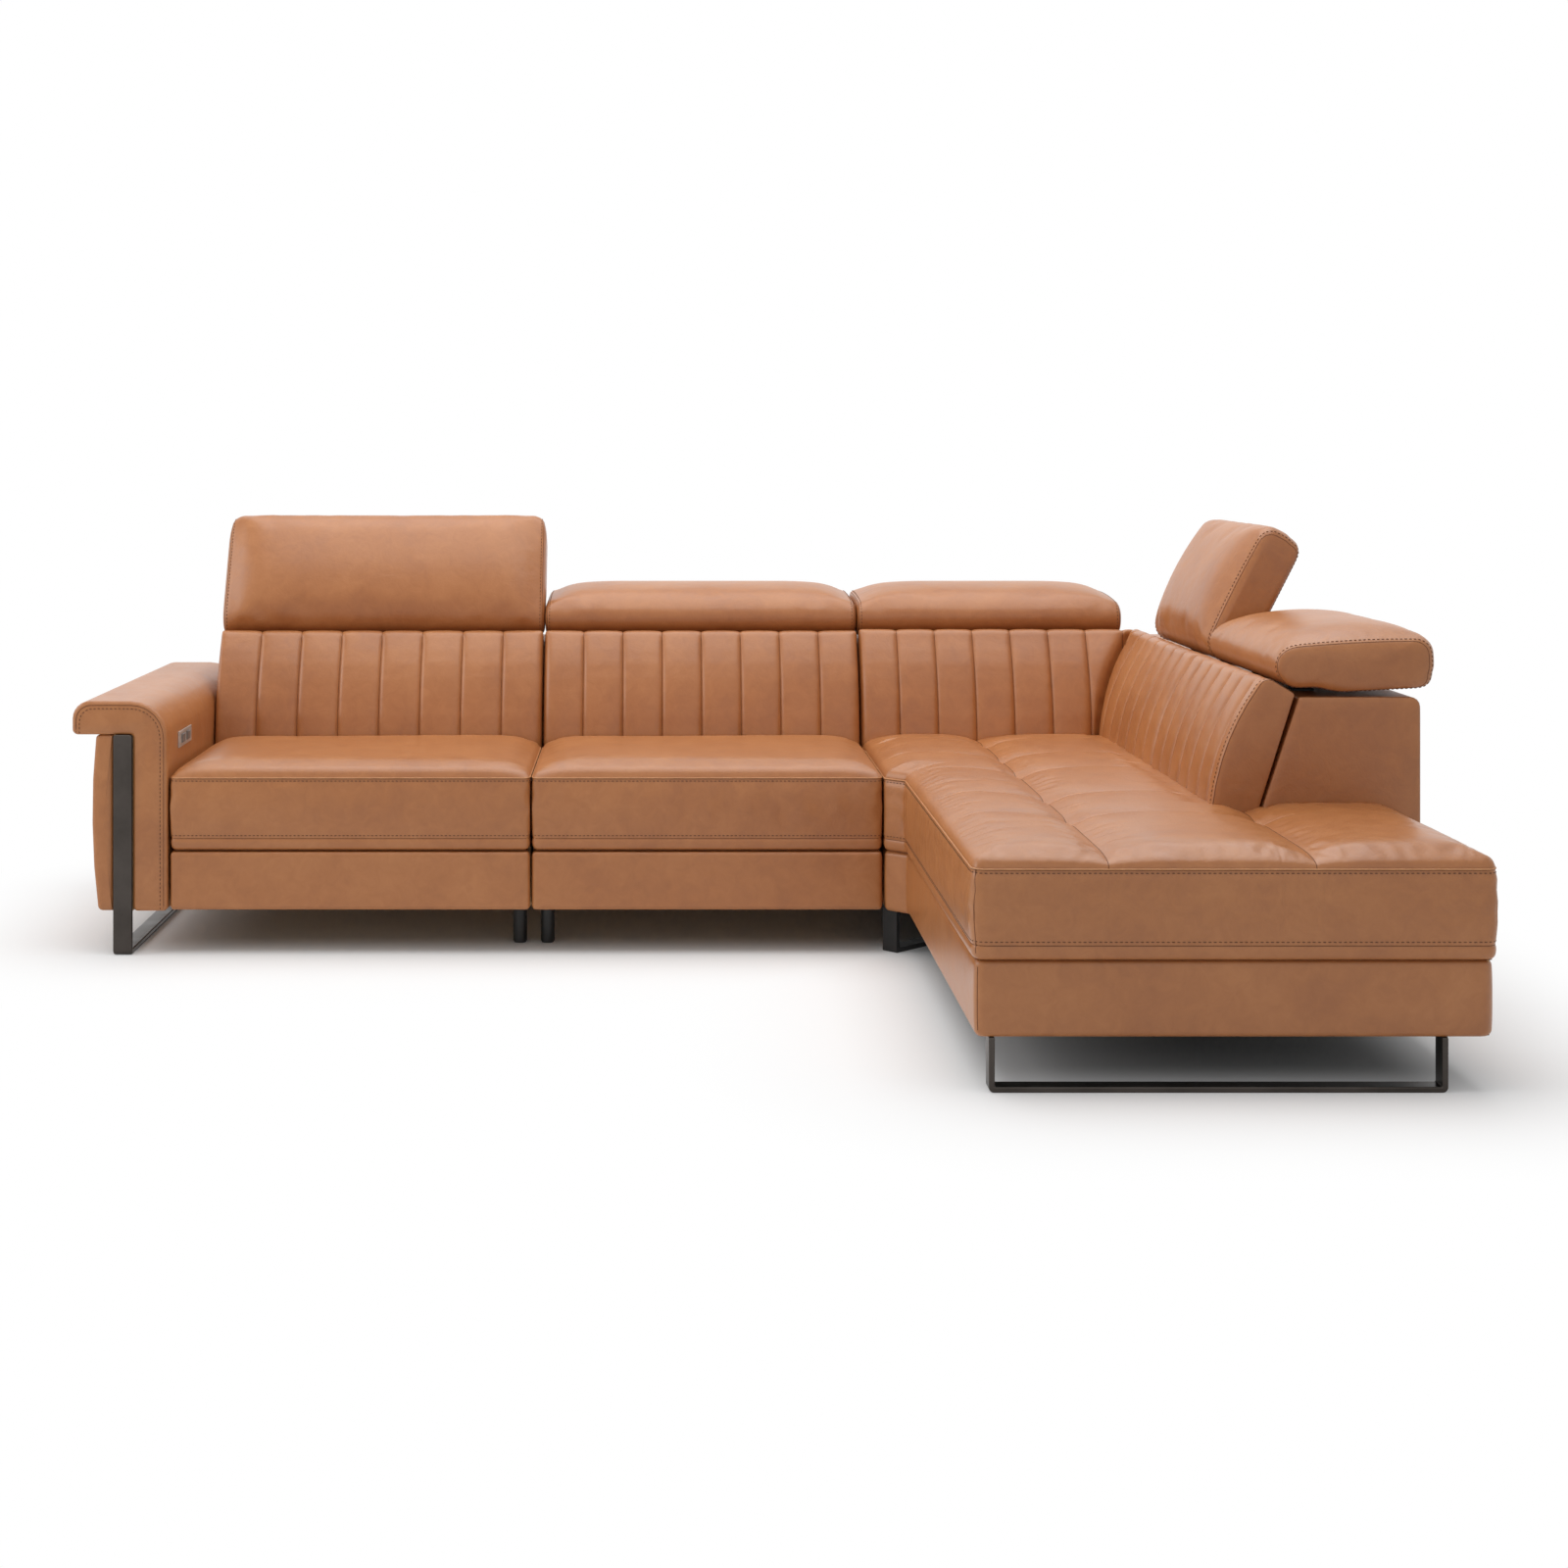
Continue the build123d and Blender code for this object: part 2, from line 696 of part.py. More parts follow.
# Seat cushions: drawn-in sides below the piping, a crowned top above it
def pillow_outline(x_range, y_range, inset, draw_in):
    corner = 28
    x_a, x_b = x_range[0] + inset, x_range[1] - inset
    y_a, y_b = y_range[0] + inset, y_range[1] - inset
    x_m, y_m = (x_a + x_b) / 2, (y_a + y_b) / 2
    bend = corner * (1 - cos(radians(45)))
    with BuildLine() as outline:
        ThreePointArc((x_a + corner, y_a), (x_m, y_a + draw_in), (x_b - corner, y_a))
        ThreePointArc((x_b - corner, y_a), (x_b - bend, y_a + bend), (x_b, y_a + corner))
        ThreePointArc((x_b, y_a + corner), (x_b - draw_in, y_m), (x_b, y_b - corner))
        ThreePointArc((x_b, y_b - corner), (x_b - bend, y_b - bend), (x_b - corner, y_b))
        ThreePointArc((x_b - corner, y_b), (x_m, y_b - draw_in), (x_a + corner, y_b))
        ThreePointArc((x_a + corner, y_b), (x_a + bend, y_b - bend), (x_a, y_b - corner))
        ThreePointArc((x_a, y_b - corner), (x_a + draw_in, y_m), (x_a, y_a + corner))
        ThreePointArc((x_a, y_a + corner), (x_a + bend, y_a + bend), (x_a + corner, y_a))
    return outline.edges()


seat_wall = [(base_top, 6), (base_top + 19, 0), (seam_height, 0)]
seat_crown = [(seam_height, 0), (crown_height - 16, 14), (crown_height - 5, 45), (crown_height, 120)]
draw_in = 4
for name, x_unit, width in (("left", x_left, left_width), ("middle", x_middle, middle_width)):
    x_range = (x_unit + soft_inset, x_unit + width - soft_inset)
    y_range = (y_front, y_front + seat_depth)
    with BuildPart() as seat_cushion:
        for height, inset in seat_wall:
            with BuildSketch(Plane.XY.offset(height)):
                make_face(pillow_outline(x_range, y_range, inset, draw_in))
        loft(ruled=True)
        for height, inset in seat_crown:
            with BuildSketch(Plane.XY.offset(height)):
                make_face(pillow_outline(x_range, y_range, inset, draw_in))
        loft()
    keep(seat_cushion, f"{name}_seat_cushion")

# Chaise cushion: one piece round the corner, with a grid of sewn valleys in its top
x_side_face = x_side - seat_rear_depth
y_back_face = y_back - seat_rear_depth
chaise_outline = [
    (x_chaise, y_chaise),
    (x_chaise_right, y_chaise),
    (x_chaise_right, y_side_end - hard_inset),
    (x_side_face, y_side_end - hard_inset),
    (x_side_face, y_back_face),
    (x_corner + soft_inset, y_back_face),
    (x_corner + soft_inset, y_front),
    (x_chaise, y_front - corner_step),
]
chaise_wall = [(base_top, 6), (base_top + 19, 0), (seam_height, 0)]
chaise_top = [(seam_height, 0), (chaise_crown - 12, 14), (chaise_crown - 4, 45), (chaise_crown, 110)]
chaise_corner = 18
valley = 10
valley_rows = [444, 164, -97, -479, -760]
long_seam_left = 250
long_seam_right = 630
with BuildPart() as chaise_cushion:
    for sections, is_ruled in ((chaise_wall, True), (chaise_top, False)):
        for height, inset in sections:
            with BuildSketch(Plane.XY.offset(height)) as outline:
                Polygon(*inset_outline(chaise_outline, inset), align=None)
                fillet(outline.vertices(), chaise_corner)
        loft(ruled=is_ruled)
    for row in valley_rows:
        with Locations(((x_corner + x_side) / 2, y_front + row, chaise_crown)):
            Box(corner_width, valley, valley, rotation=(45, 0, 0), mode=Mode.SUBTRACT)
    for along, far_end in ((long_seam_left, y_back_face), (long_seam_right, y_side_end)):
        with Locations((x_chaise + along, (y_chaise + far_end) / 2, chaise_crown)):
            Box(valley, far_end - y_chaise, valley, rotation=(0, 45, 0), mode=Mode.SUBTRACT)
keep(chaise_cushion, "chaise_cushion")

# Recliner seats: pan with runners and link lugs, rails, motor and push rod
runner_gap = 3
runner_layer = (hard_inset + board_thick + runner_gap, 40)
lug_layer = (41, 46)
rear_link_layer = (47, 53)
front_link_layer = (54, 60)
foot_lug_layer = (61, 66)
runner_front = 90
runner_rear_inset = 20
rail_rear_run = 140
rail_tall = 14
pan_rear_inset = 8
pan_rear = seat_depth - pan_rear_inset
runner_reach = (runner_front, pan_rear - runner_rear_inset)
rail_reach = (runner_front, pan_rear + rail_rear_run)
pan_top = base_top - fit_gap
pan_bottom = pan_top - pan_thick
lug_half = 14
pivot_y = y_front + link_pivot[0]
pivot_z = link_pivot[1]
knee_z = pivot_z - link_length
rod_radius = 10
rod_front = 250
rod_bracket_thick = 16
rod_end_room = 80
tube_front = 430
tube_end_wall = 70
tube_radius = 18
gearbox_depth = 110
gearbox_half = 32
tail_reach = 63
tail_radius = 8
y_gearbox = (y_rear_rail[0] - tail_reach - gearbox_depth, y_rear_rail[0] - tail_reach)
y_tube = y_front + tube_front
y_bore_end = y_gearbox[0] - tube_end_wall
y_rod = (y_front + rod_front, y_bore_end - rod_end_room)

for name, x_unit, width in (("left", x_left, left_width), ("middle", x_middle, middle_width)):
    x_mid = x_unit + width / 2
    with BuildPart() as seat_pan:
        block(
            (x_unit + runner_layer[0], x_unit + width - runner_layer[0]),
            (y_front + pan_front, y_front + pan_rear),
            (pan_bottom, pan_top),
        )
        for start, thick in both_sides(x_unit, width, *runner_layer):
            block(
                (start, start + thick),
                (y_front + runner_reach[0], y_front + runner_reach[1]),
                (rail_top + slide_gap, pan_bottom),
            )
        for start, thick in both_sides(x_unit, width, *lug_layer):
            with BuildSketch(Plane.YZ.offset(start)):
                with Locations((pivot_y, pivot_z)):
                    Circle(link_half)
                with Locations((pivot_y, pan_bottom)):
                    Rectangle(2 * lug_half, 1)
                make_hull()
            extrude(amount=thick)
        for start, thick in both_sides(x_unit, width, lug_layer[0], rear_link_layer[1]):
            with BuildSketch(Plane.YZ.offset(start)):
                with Locations((pivot_y, pivot_z)):
                    Circle(link_pin)
            extrude(amount=thick)
    keep(seat_pan, f"{name}_seat_pan")

    with BuildPart() as rear_links:
        for start, thick in both_sides(x_unit, width, *rear_link_layer):
            with BuildSketch(Plane.YZ.offset(start)):
                with Locations((pivot_y, pivot_z), (pivot_y, knee_z)):
                    Circle(link_half)
                make_hull()
                with Locations((pivot_y, pivot_z)):
                    Circle(link_pin + hinge_gap, mode=Mode.SUBTRACT)
            extrude(amount=thick)
        for start, thick in both_sides(x_unit, width, rear_link_layer[0], front_link_layer[1]):
            with BuildSketch(Plane.YZ.offset(start)):
                with Locations((pivot_y, knee_z)):
                    Circle(link_pin)
            extrude(amount=thick)
    keep(rear_links, f"{name}_rear_links")

    with BuildPart() as front_links:
        for start, thick in both_sides(x_unit, width, *front_link_layer):
            with BuildSketch(Plane.YZ.offset(start)):
                with Locations((pivot_y, pivot_z), (pivot_y, knee_z)):
                    Circle(link_half)
                make_hull()
                with Locations((pivot_y, pivot_z), (pivot_y, knee_z)):
                    Circle(link_pin + hinge_gap, mode=Mode.SUBTRACT)
            extrude(amount=thick)
    keep(front_links, f"{name}_front_links")

    board_back = y_front + footrest_thick + footrest_board_thick
    with BuildPart() as footrest_board:
        block(
            (x_unit + footrest_board_inset, x_unit + width - footrest_board_inset),
            (y_front + footrest_thick + hinge_gap, board_back),
            (base_bottom + footrest_board_raise, base_top - footrest_board_drop),
        )
        for start, thick in both_sides(x_unit, width, *foot_lug_layer):
            with BuildSketch(Plane.YZ.offset(start)):
                with Locations((pivot_y, pivot_z)):
                    Circle(link_half)
                with Locations((board_back - overcut, pivot_z)):
                    Rectangle(2 * overcut, 2 * lug_half)
                make_hull()
            extrude(amount=thick)
        for start, thick in both_sides(x_unit, width, front_link_layer[0], foot_lug_layer[1]):
            with BuildSketch(Plane.YZ.offset(start)):
                with Locations((pivot_y, pivot_z)):
                    Circle(link_pin)
            extrude(amount=thick)
    keep(footrest_board, f"{name}_footrest_board")

    with BuildPart() as footrest_pad:
        with BuildSketch(Plane.YZ.offset(x_unit + soft_inset)) as face:
            with BuildLine():
                Polyline(
                    (y_front, base_bottom + footrest_pad_raise),
                    (y_front + footrest_thick, base_bottom + footrest_pad_raise),
                    (y_front + footrest_thick, base_top - footrest_pad_drop - footrest_pad_bevel[1]),
                    (y_front + footrest_pad_bevel[0], base_top - footrest_pad_drop),
                    (y_front, base_top - footrest_pad_drop),
                    close=True,
                )
            make_face()
            fillet(face.vertices().group_by(Axis.X)[0], footrest_pad_edge)
        extrude(amount=width - 2 * soft_inset)
    keep(footrest_pad, f"{name}_footrest_pad")

    with BuildPart() as actuator_rod:
        with BuildSketch(front_plane(y_rod[0])):
            with Locations((x_mid, motor_height)):
                Circle(rod_radius)
        extrude(amount=y_rod[0] - y_rod[1])
        block(
            (x_mid - rod_radius, x_mid + rod_radius),
            (y_rod[0], y_rod[0] + rod_bracket_thick),
            (motor_height, pan_bottom - fit_gap),
        )
    keep(actuator_rod, f"{name}_actuator_rod")

with BuildPart() as recline_motors:
    for x_unit, width in ((x_left, left_width), (x_middle, middle_width)):
        x_mid = x_unit + width / 2
        with BuildSketch(front_plane(y_tube)):
            with Locations((x_mid, motor_height)):
                Circle(tube_radius)
        extrude(amount=y_tube - y_gearbox[0])
        block(
            (x_mid - gearbox_half, x_mid + gearbox_half),
            y_gearbox,
            (motor_height - gearbox_half, motor_height + gearbox_half),
        )
        with BuildSketch(front_plane(y_gearbox[1])):
            with Locations((x_mid, motor_height)):
                Circle(tail_radius)
        extrude(amount=y_gearbox[1] - y_rear_rail[0] + fit_gap)
        with BuildSketch(front_plane(y_tube)):
            with Locations((x_mid, motor_height)):
                Circle(rod_radius + slide_gap)
        extrude(amount=y_tube - y_bore_end, mode=Mode.SUBTRACT)
keep(recline_motors, "recline_motors")

with BuildPart() as seat_slide_rails:
    for x_unit, width in ((x_left, left_width), (x_middle, middle_width)):
        for start, thick in both_sides(x_unit, width, hard_inset + board_thick, runner_layer[1]):
            block(
                (start + fit_gap, start + thick - fit_gap),
                (y_front + rail_reach[0], y_front + rail_reach[1]),
                (rail_top - rail_tall, rail_top),
            )
keep(seat_slide_rails, "seat_slide_rails")

# Legs: two flat-bar loops under the corner unit, round legs with glides elsewhere
with BuildPart() as chaise_sled_leg:
    x_loop = x_chaise + chaise_loop_left
    with BuildSketch(front_plane(y_chaise + skirt_inset + chaise_leg_inset)) as loop:
        with BuildLine():
            Polyline(
                (x_loop, base_bottom - fit_gap),
                (x_loop, 0),
                (x_loop + chaise_loop_width, 0),
                (x_loop + chaise_loop_width, base_bottom - fit_gap),
                (x_loop + chaise_loop_width - bar_thick, base_bottom - fit_gap),
                (x_loop + chaise_loop_width - bar_thick, bar_thick),
                (x_loop + bar_thick, bar_thick),
                (x_loop + bar_thick, base_bottom - fit_gap),
                close=True,
            )
        make_face()
        fillet(loop.vertices().group_by(Axis.Y)[0], bar_bend)
    extrude(amount=-chaise_bar_depth)
keep(chaise_sled_leg, "chaise_sled_leg")

diagonal = Plane(
    origin=(x_corner + corner_leg_from_joint, y_front + corner_leg_from_front, 0),
    x_dir=(1, 1, 0),
    z_dir=(1, -1, 0),
)
with BuildPart() as corner_sled_leg:
    with BuildSketch(diagonal) as loop:
        with BuildLine():
            Polyline(
                (0, base_bottom - fit_gap),
                (0, 0),
                (corner_loop_length, 0),
                (corner_loop_length, base_bottom - fit_gap),
                (corner_loop_length - bar_thick, base_bottom - fit_gap),
                (corner_loop_length - bar_thick, bar_thick),
                (bar_thick, bar_thick),
                (bar_thick, base_bottom - fit_gap),
                close=True,
            )
        make_face()
        fillet(loop.vertices().group_by(Axis.Y)[0], corner_bar_round)
    extrude(amount=corner_bar_width / 2, both=True)
keep(corner_sled_leg, "corner_sled_leg")

leg_places = [
    (x_middle - leg_from_joint, y_front + leg_from_front, board_bottom),
    (x_middle - leg_from_joint, y_back - leg_from_back, board_bottom),
    (x_middle + leg_from_joint, y_front + leg_from_front, board_bottom),
    (x_middle + leg_from_joint, y_back - leg_from_back, board_bottom),
    (x_corner + 2 * leg_from_joint, y_back - leg_from_back, dust_cover_z[0]),
    (x_side - leg_from_back, y_back - leg_from_back, dust_cover_z[0]),
]
with BuildPart() as round_legs:
    for x, y, top in leg_places:
        with BuildSketch(Plane.XY.offset(glide_height)):
            with Locations((x, y)):
                Circle(leg_diameter / 2)
        extrude(amount=top - fit_gap - glide_height)
keep(round_legs, "round_legs")

with BuildPart() as leg_glides:
    for x, y, top in leg_places:
        with BuildSketch():
            with Locations((x, y)):
                Circle(leg_diameter / 2 - glide_inset)
        extrude(amount=glide_height - fit_gap)
keep(leg_glides, "leg_glides")

# Plates that join the units, and the low-voltage inlet on the left unit's rear rail
connector_half = 40
connector_z = (130, 200)
connector_from_front = 500
connector_from_back = 160
with BuildPart() as unit_connectors:
    for x_joint in (x_left, x_middle, x_corner):
        for y in (y_front + connector_from_front, y_back - connector_from_back):
            block(
                (x_joint - hard_inset + fit_gap, x_joint + hard_inset - fit_gap),
                (y - connector_half, y + connector_half),
                connector_z,
            )
keep(unit_connectors, "unit_connectors")

inlet_from_joint = 120
inlet_half = 22
inlet_depth = 10
inlet_z = (150, 184)
inlet_bore = 5
inlet_bore_depth = 6
inlet_x = x_left + inlet_from_joint
with BuildPart() as power_inlet:
    block(
        (inlet_x - inlet_half, inlet_x + inlet_half),
        (y_back - rear_inset + fit_gap, y_back - rear_inset + inlet_depth),
        inlet_z,
    )
    with BuildSketch(front_plane(y_back - rear_inset + inlet_depth)):
        with Locations((inlet_x, sum(inlet_z) / 2)):
            Circle(inlet_bore)
    extrude(amount=inlet_bore_depth, mode=Mode.SUBTRACT)
keep(power_inlet, "power_inlet")
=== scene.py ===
import json
import math

import bmesh
import bpy
import numpy as np
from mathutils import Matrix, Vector
from mathutils.bvhtree import BVHTree

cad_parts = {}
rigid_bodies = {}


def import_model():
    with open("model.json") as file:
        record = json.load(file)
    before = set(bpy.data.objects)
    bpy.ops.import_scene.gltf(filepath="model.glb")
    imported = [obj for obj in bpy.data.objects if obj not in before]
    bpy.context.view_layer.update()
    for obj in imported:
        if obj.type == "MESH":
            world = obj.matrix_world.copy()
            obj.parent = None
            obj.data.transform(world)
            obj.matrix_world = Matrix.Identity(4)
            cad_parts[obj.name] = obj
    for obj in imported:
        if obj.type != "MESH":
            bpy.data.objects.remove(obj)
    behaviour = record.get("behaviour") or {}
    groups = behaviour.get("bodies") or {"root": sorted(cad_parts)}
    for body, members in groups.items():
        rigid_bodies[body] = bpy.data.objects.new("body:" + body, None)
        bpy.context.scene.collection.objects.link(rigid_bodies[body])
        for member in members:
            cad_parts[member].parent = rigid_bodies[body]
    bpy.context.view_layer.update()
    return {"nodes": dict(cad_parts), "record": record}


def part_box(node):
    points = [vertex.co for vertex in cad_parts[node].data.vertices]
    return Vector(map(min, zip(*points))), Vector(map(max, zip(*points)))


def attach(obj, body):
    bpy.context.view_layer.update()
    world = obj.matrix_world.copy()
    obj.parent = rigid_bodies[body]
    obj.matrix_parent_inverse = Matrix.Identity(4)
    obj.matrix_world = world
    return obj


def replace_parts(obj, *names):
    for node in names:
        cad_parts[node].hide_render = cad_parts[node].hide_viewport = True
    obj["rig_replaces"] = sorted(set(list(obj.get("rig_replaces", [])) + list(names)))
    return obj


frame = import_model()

nodes = frame["nodes"]
scene = bpy.context.scene
mm = 0.001  # shapes are worked out in millimetres, meshes are in metres
print("frame loaded with", len(nodes), "nodes")


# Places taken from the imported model
def boxMm(name):
    low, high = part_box(name)
    return np.array(low) / mm, np.array(high) / mm


yBack = boxMm("left_back_shell")[1][1]  # outside of the backs along the wall
xSide = boxMm("side_back_shell")[1][0]  # outside of the back along the chaise
xCorner = boxMm("chaise_cushion")[0][0]
yFront = boxMm("left_seat_cushion")[0][1]


def alongWall(x0):
    return lambda along, depth, z: (x0 + along, yBack - depth, z + 0 * along)


def alongSide(along, depth, z):
    return xSide - depth, yBack - along, z + 0 * along


# Node helper: settings go to inputs or properties, links go to inputs
def addNode(tree, kind, settings=None, links=None):
    made = tree.nodes.new(kind)
    for key, value in (settings or {}).items():
        if isinstance(key, int) or key in made.inputs:
            made.inputs[key].default_value = value
        else:
            setattr(made, key, value)
    for key, source in (links or {}).items():
        tree.links.new(source, made.inputs[key])
    return made


def hexColour(code):
    channels = [int(code[i:i + 2], 16) / 255 for i in (1, 3, 5)]
    linear = [c / 12.92 if c <= 0.04045 else ((c + 0.055) / 1.055) ** 2.4 for c in channels]
    return (*linear, 1.0)


def newMaterial(name):
    made = bpy.data.materials.new(name)
    made.use_nodes = True
    made.node_tree.nodes.clear()
    return made, made.node_tree


def perMetre(millimetres):
    return 1000 / millimetres  # texture scale that gives a feature of this size


def shadeMaterial(tree, settings, tones, tone, rough, roughTone, bump):
    # the colour follows one clouding and the roughness another, and the bump comes last
    ramp = addNode(tree, "ShaderNodeValToRGB", links={"Fac": tone})
    stops = ramp.color_ramp.elements
    for stop, (position, code) in zip(stops, (tones[0], tones[-1])):
        stop.position, stop.color = position, hexColour(code)
    for position, code in tones[1:-1]:
        stops.new(position).color = hexColour(code)
    roughness = addNode(
        tree,
        "ShaderNodeMapRange",
        {"From Min": 0.3, "From Max": 0.7, "To Min": rough[0], "To Max": rough[1]},
        {"Value": roughTone},
    )
    shader = addNode(
        tree,
        "ShaderNodeBsdfPrincipled",
        settings,
        {
            "Base Color": ramp.outputs["Color"],
            "Roughness": roughness.outputs["Result"],
            "Normal": bump.outputs["Normal"],
        },
    )
    addNode(tree, "ShaderNodeOutputMaterial", links={"Surface": shader.outputs[0]})


# Corrected-grain cowhide, drum dyed and hand rubbed: clouded caramel with a soft satin bloom
leatherLook = {
    "tones": ((0.36, "#A36639"), (0.5, "#AC6E3E"), (0.64, "#B47645")),
    "cloud": {"Scale": perMetre(210), "Detail": 4, "Roughness": 0.6, "Distortion": 0.6},
    "mottle": {"Scale": perMetre(38), "Detail": 5, "Roughness": 0.62, "Distortion": 0.9},
    "mottleShare": 0.42,
    "grain": {"Scale": perMetre(5), "Randomness": 1.0},  # really about 1 mm, drawn coarser so that it shows
    "grainBump": {"Strength": 0.10, "Distance": 0.0012},
    "crease": {"Scale": perMetre(70), "Detail": 6, "Roughness": 0.6, "Distortion": 1.4},
    "creaseBump": {"Strength": 0.22, "Distance": 0.006},
    "rough": (0.34, 0.44),
    "shader": {"IOR": 1.45, "Coat Weight": 0.27, "Coat Roughness": 0.28},
}


def makeLeather():
    look = leatherLook
    made, tree = newMaterial("cowhide_caramel_rubbed")
    place = {"Vector": addNode(tree, "ShaderNodeTexCoord").outputs["Object"]}
    cloud = addNode(tree, "ShaderNodeTexNoise", look["cloud"], place).outputs["Fac"]
    mottle = addNode(tree, "ShaderNodeTexNoise", look["mottle"], place).outputs["Fac"]
    tone = addNode(tree, "ShaderNodeMix", {"Factor": look["mottleShare"]}, {"A": cloud, "B": mottle})
    grain = addNode(tree, "ShaderNodeTexVoronoi", look["grain"], place)
    crease = addNode(tree, "ShaderNodeTexNoise", look["crease"], place)
    fine = addNode(tree, "ShaderNodeBump", look["grainBump"], {"Height": grain.outputs["Distance"]})
    broad = addNode(
        tree,
        "ShaderNodeBump",
        look["creaseBump"],
        {"Height": crease.outputs["Fac"], "Normal": fine.outputs["Normal"]},
    )
    shadeMaterial(tree, look["shader"], look["tones"], tone.outputs["Result"], look["rough"], mottle, broad)
    return made


# Plain finishes share one recipe: a clouded colour, a roughness and a fine texture
def makeFinish(name, dark, light, cloudMm, rough, metallic, grainMm, bump, stretch=(1, 1, 1)):
    made, tree = newMaterial(name)
    coords = addNode(tree, "ShaderNodeTexCoord").outputs["Object"]
    mapping = addNode(tree, "ShaderNodeMapping", {"Scale": stretch}, {"Vector": coords})
    place = {"Vector": mapping.outputs["Vector"]}
    noise = {"Roughness": 0.55, "Distortion": 0.0}
    clouds = {"Scale": perMetre(cloudMm), "Detail": 4, **noise}
    cloud = addNode(tree, "ShaderNodeTexNoise", clouds, place).outputs["Fac"]
    grains = {"Scale": perMetre(grainMm), "Detail": 2, **noise}
    grain = addNode(tree, "ShaderNodeTexNoise", grains, place).outputs["Fac"]
    bumped = addNode(tree, "ShaderNodeBump", {"Strength": bump, "Distance": 0.001}, {"Height": grain})
    settings = {"Metallic": metallic} if metallic else {"IOR": 1.45}  # a metal keeps the default
    tones, roughs = ((0.35, dark), (0.65, light)), (rough - 0.06, rough + 0.06)
    shadeMaterial(tree, settings, tones, cloud, roughs, cloud, bumped)
    return made


leather = makeLeather()
# each row: name, dark and light tone, clouding in mm, roughness, metallic, grain in mm, bump, stretch
finishTable = {
    # bonded polyester thread, tone in tone: slightly darker dashes
    "thread": ("polyester_thread_brown", "#5F3A20", "#704728", 12, 0.6, 0.0, 1.2, 0.2),
    # painted shade: a thin dark line laid down in each seam groove, where shade falls
    "seamGrooveShade": ("painted_seam_groove_shade", "#63391D", "#744626", 20, 0.7, 0.0, 1.5, 0.1),
    # painted highlight: a pale line along the folded top edges, where they catch the light
    "foldEdgeHighlight": ("painted_fold_edge_highlight", "#C08556", "#CB9263", 20, 0.4, 0.0, 1.5, 0.1),
    # powder coat with metal flake over steel: dark warm grey with long soft reflections
    "gunmetal_bar": ("gunmetal_coated_steel", "#403B37", "#4C4642", 90, 0.34, 0.85, 1.5, 0.04),
    # satin powder coat: nearly black, soft highlight
    "black_steel": ("black_powder_coat", "#1C1B1A", "#262423", 60, 0.42, 0.0, 1.5, 0.08),
    # zinc plating under a dark passivation: cool dark grey metal with faint spangle
    "zinc_steel": ("zinc_black_passivated_steel", "#262728", "#303132", 25, 0.52, 0.4, 1.5, 0.03),
    # plate brushed along its length: pale streaks
    "brushed_plate": (
        "brushed_aluminium_lacquered", "#A9A6A1", "#C6C3BE", 9, 0.36, 0.35, 0.8, 0.08, (1, 0.08, 1)
    ),
    # moulded ABS: mid grey with a dull sheen
    "dark_button": ("abs_key_grey", "#6B6764", "#7A7572", 15, 0.45, 0.0, 0.8, 0.06),
    # moulded polypropylene: waxy black
    "black_plastic": ("moulded_polypropylene_black", "#191919", "#222222", 30, 0.5, 0.0, 0.8, 0.1),
    # spun-bonded dust cloth: flat black with a felted tooth
    "black_cloth": ("spunbond_cloth_black", "#161616", "#202020", 12, 0.9, 0.0, 2.0, 0.5),
    # birch plywood: pale with long grain
    "plywood": ("birch_plywood", "#B08D62", "#CDAE82", 16, 0.62, 0.0, 2.0, 0.12, (0.08, 1, 1)),
}
finishes = {slot: makeFinish(*row) for slot, row in finishTable.items()}
finishes["caramel_leather"] = leather
print("materials made:", len(finishes))


# Mesh helpers
def linkNew(name, data):
    obj = bpy.data.objects.new(name, data)
    scene.collection.objects.link(obj)
    return obj


def outwards(shell, mesh):
    # faces point out, and the edited shell goes back into its mesh
    bmesh.ops.recalc_face_normals(shell, faces=shell.faces)
    shell.to_mesh(mesh)
    shell.free()
    mesh.shade_smooth()


def addMesh(name, points, faces):
    mesh = bpy.data.meshes.new(name)
    mesh.from_pydata([tuple(p) for p in np.asarray(points, float) * mm], [], faces)
    shell = bmesh.new()
    shell.from_mesh(mesh)
    outwards(shell, mesh)
    mesh.materials.append(leather)
    return linkNew(name, mesh)


def edgeEnds(mesh):
    ends = np.empty(len(mesh.edges) * 2, int)
    mesh.edges.foreach_get("vertices", ends)
    return ends.reshape(-1, 2)


def creaseEdges(obj, sewn, amount):
    # sewn lines stay sharp when the surface is subdivided
    mesh = obj.data
    onSeam = np.zeros(len(mesh.vertices), bool)
    onSeam[np.asarray(sewn, int).ravel()] = True
    layer = mesh.attributes.get("crease_edge") or mesh.attributes.new("crease_edge", "FLOAT", "EDGE")
    values = np.zeros(len(mesh.edges), np.float32)
    layer.data.foreach_get("value", values)
    values[onSeam[edgeEnds(mesh)].all(1)] = amount
    layer.data.foreach_set("value", values)


def pointsOf(obj):
    found = np.empty(len(obj.data.vertices) * 3)
    obj.data.vertices.foreach_get("co", found)
    return found.reshape(-1, 3)


def movePoints(obj, points):
    obj.data.vertices.foreach_set("co", points.ravel())
    obj.data.update()


# Swelling: what all cushions share, each adds its own stiffness
clothLook = {"quality": 4, "mass": 0.4, "airDamping": 4, "pressure": 4, "frames": 20}


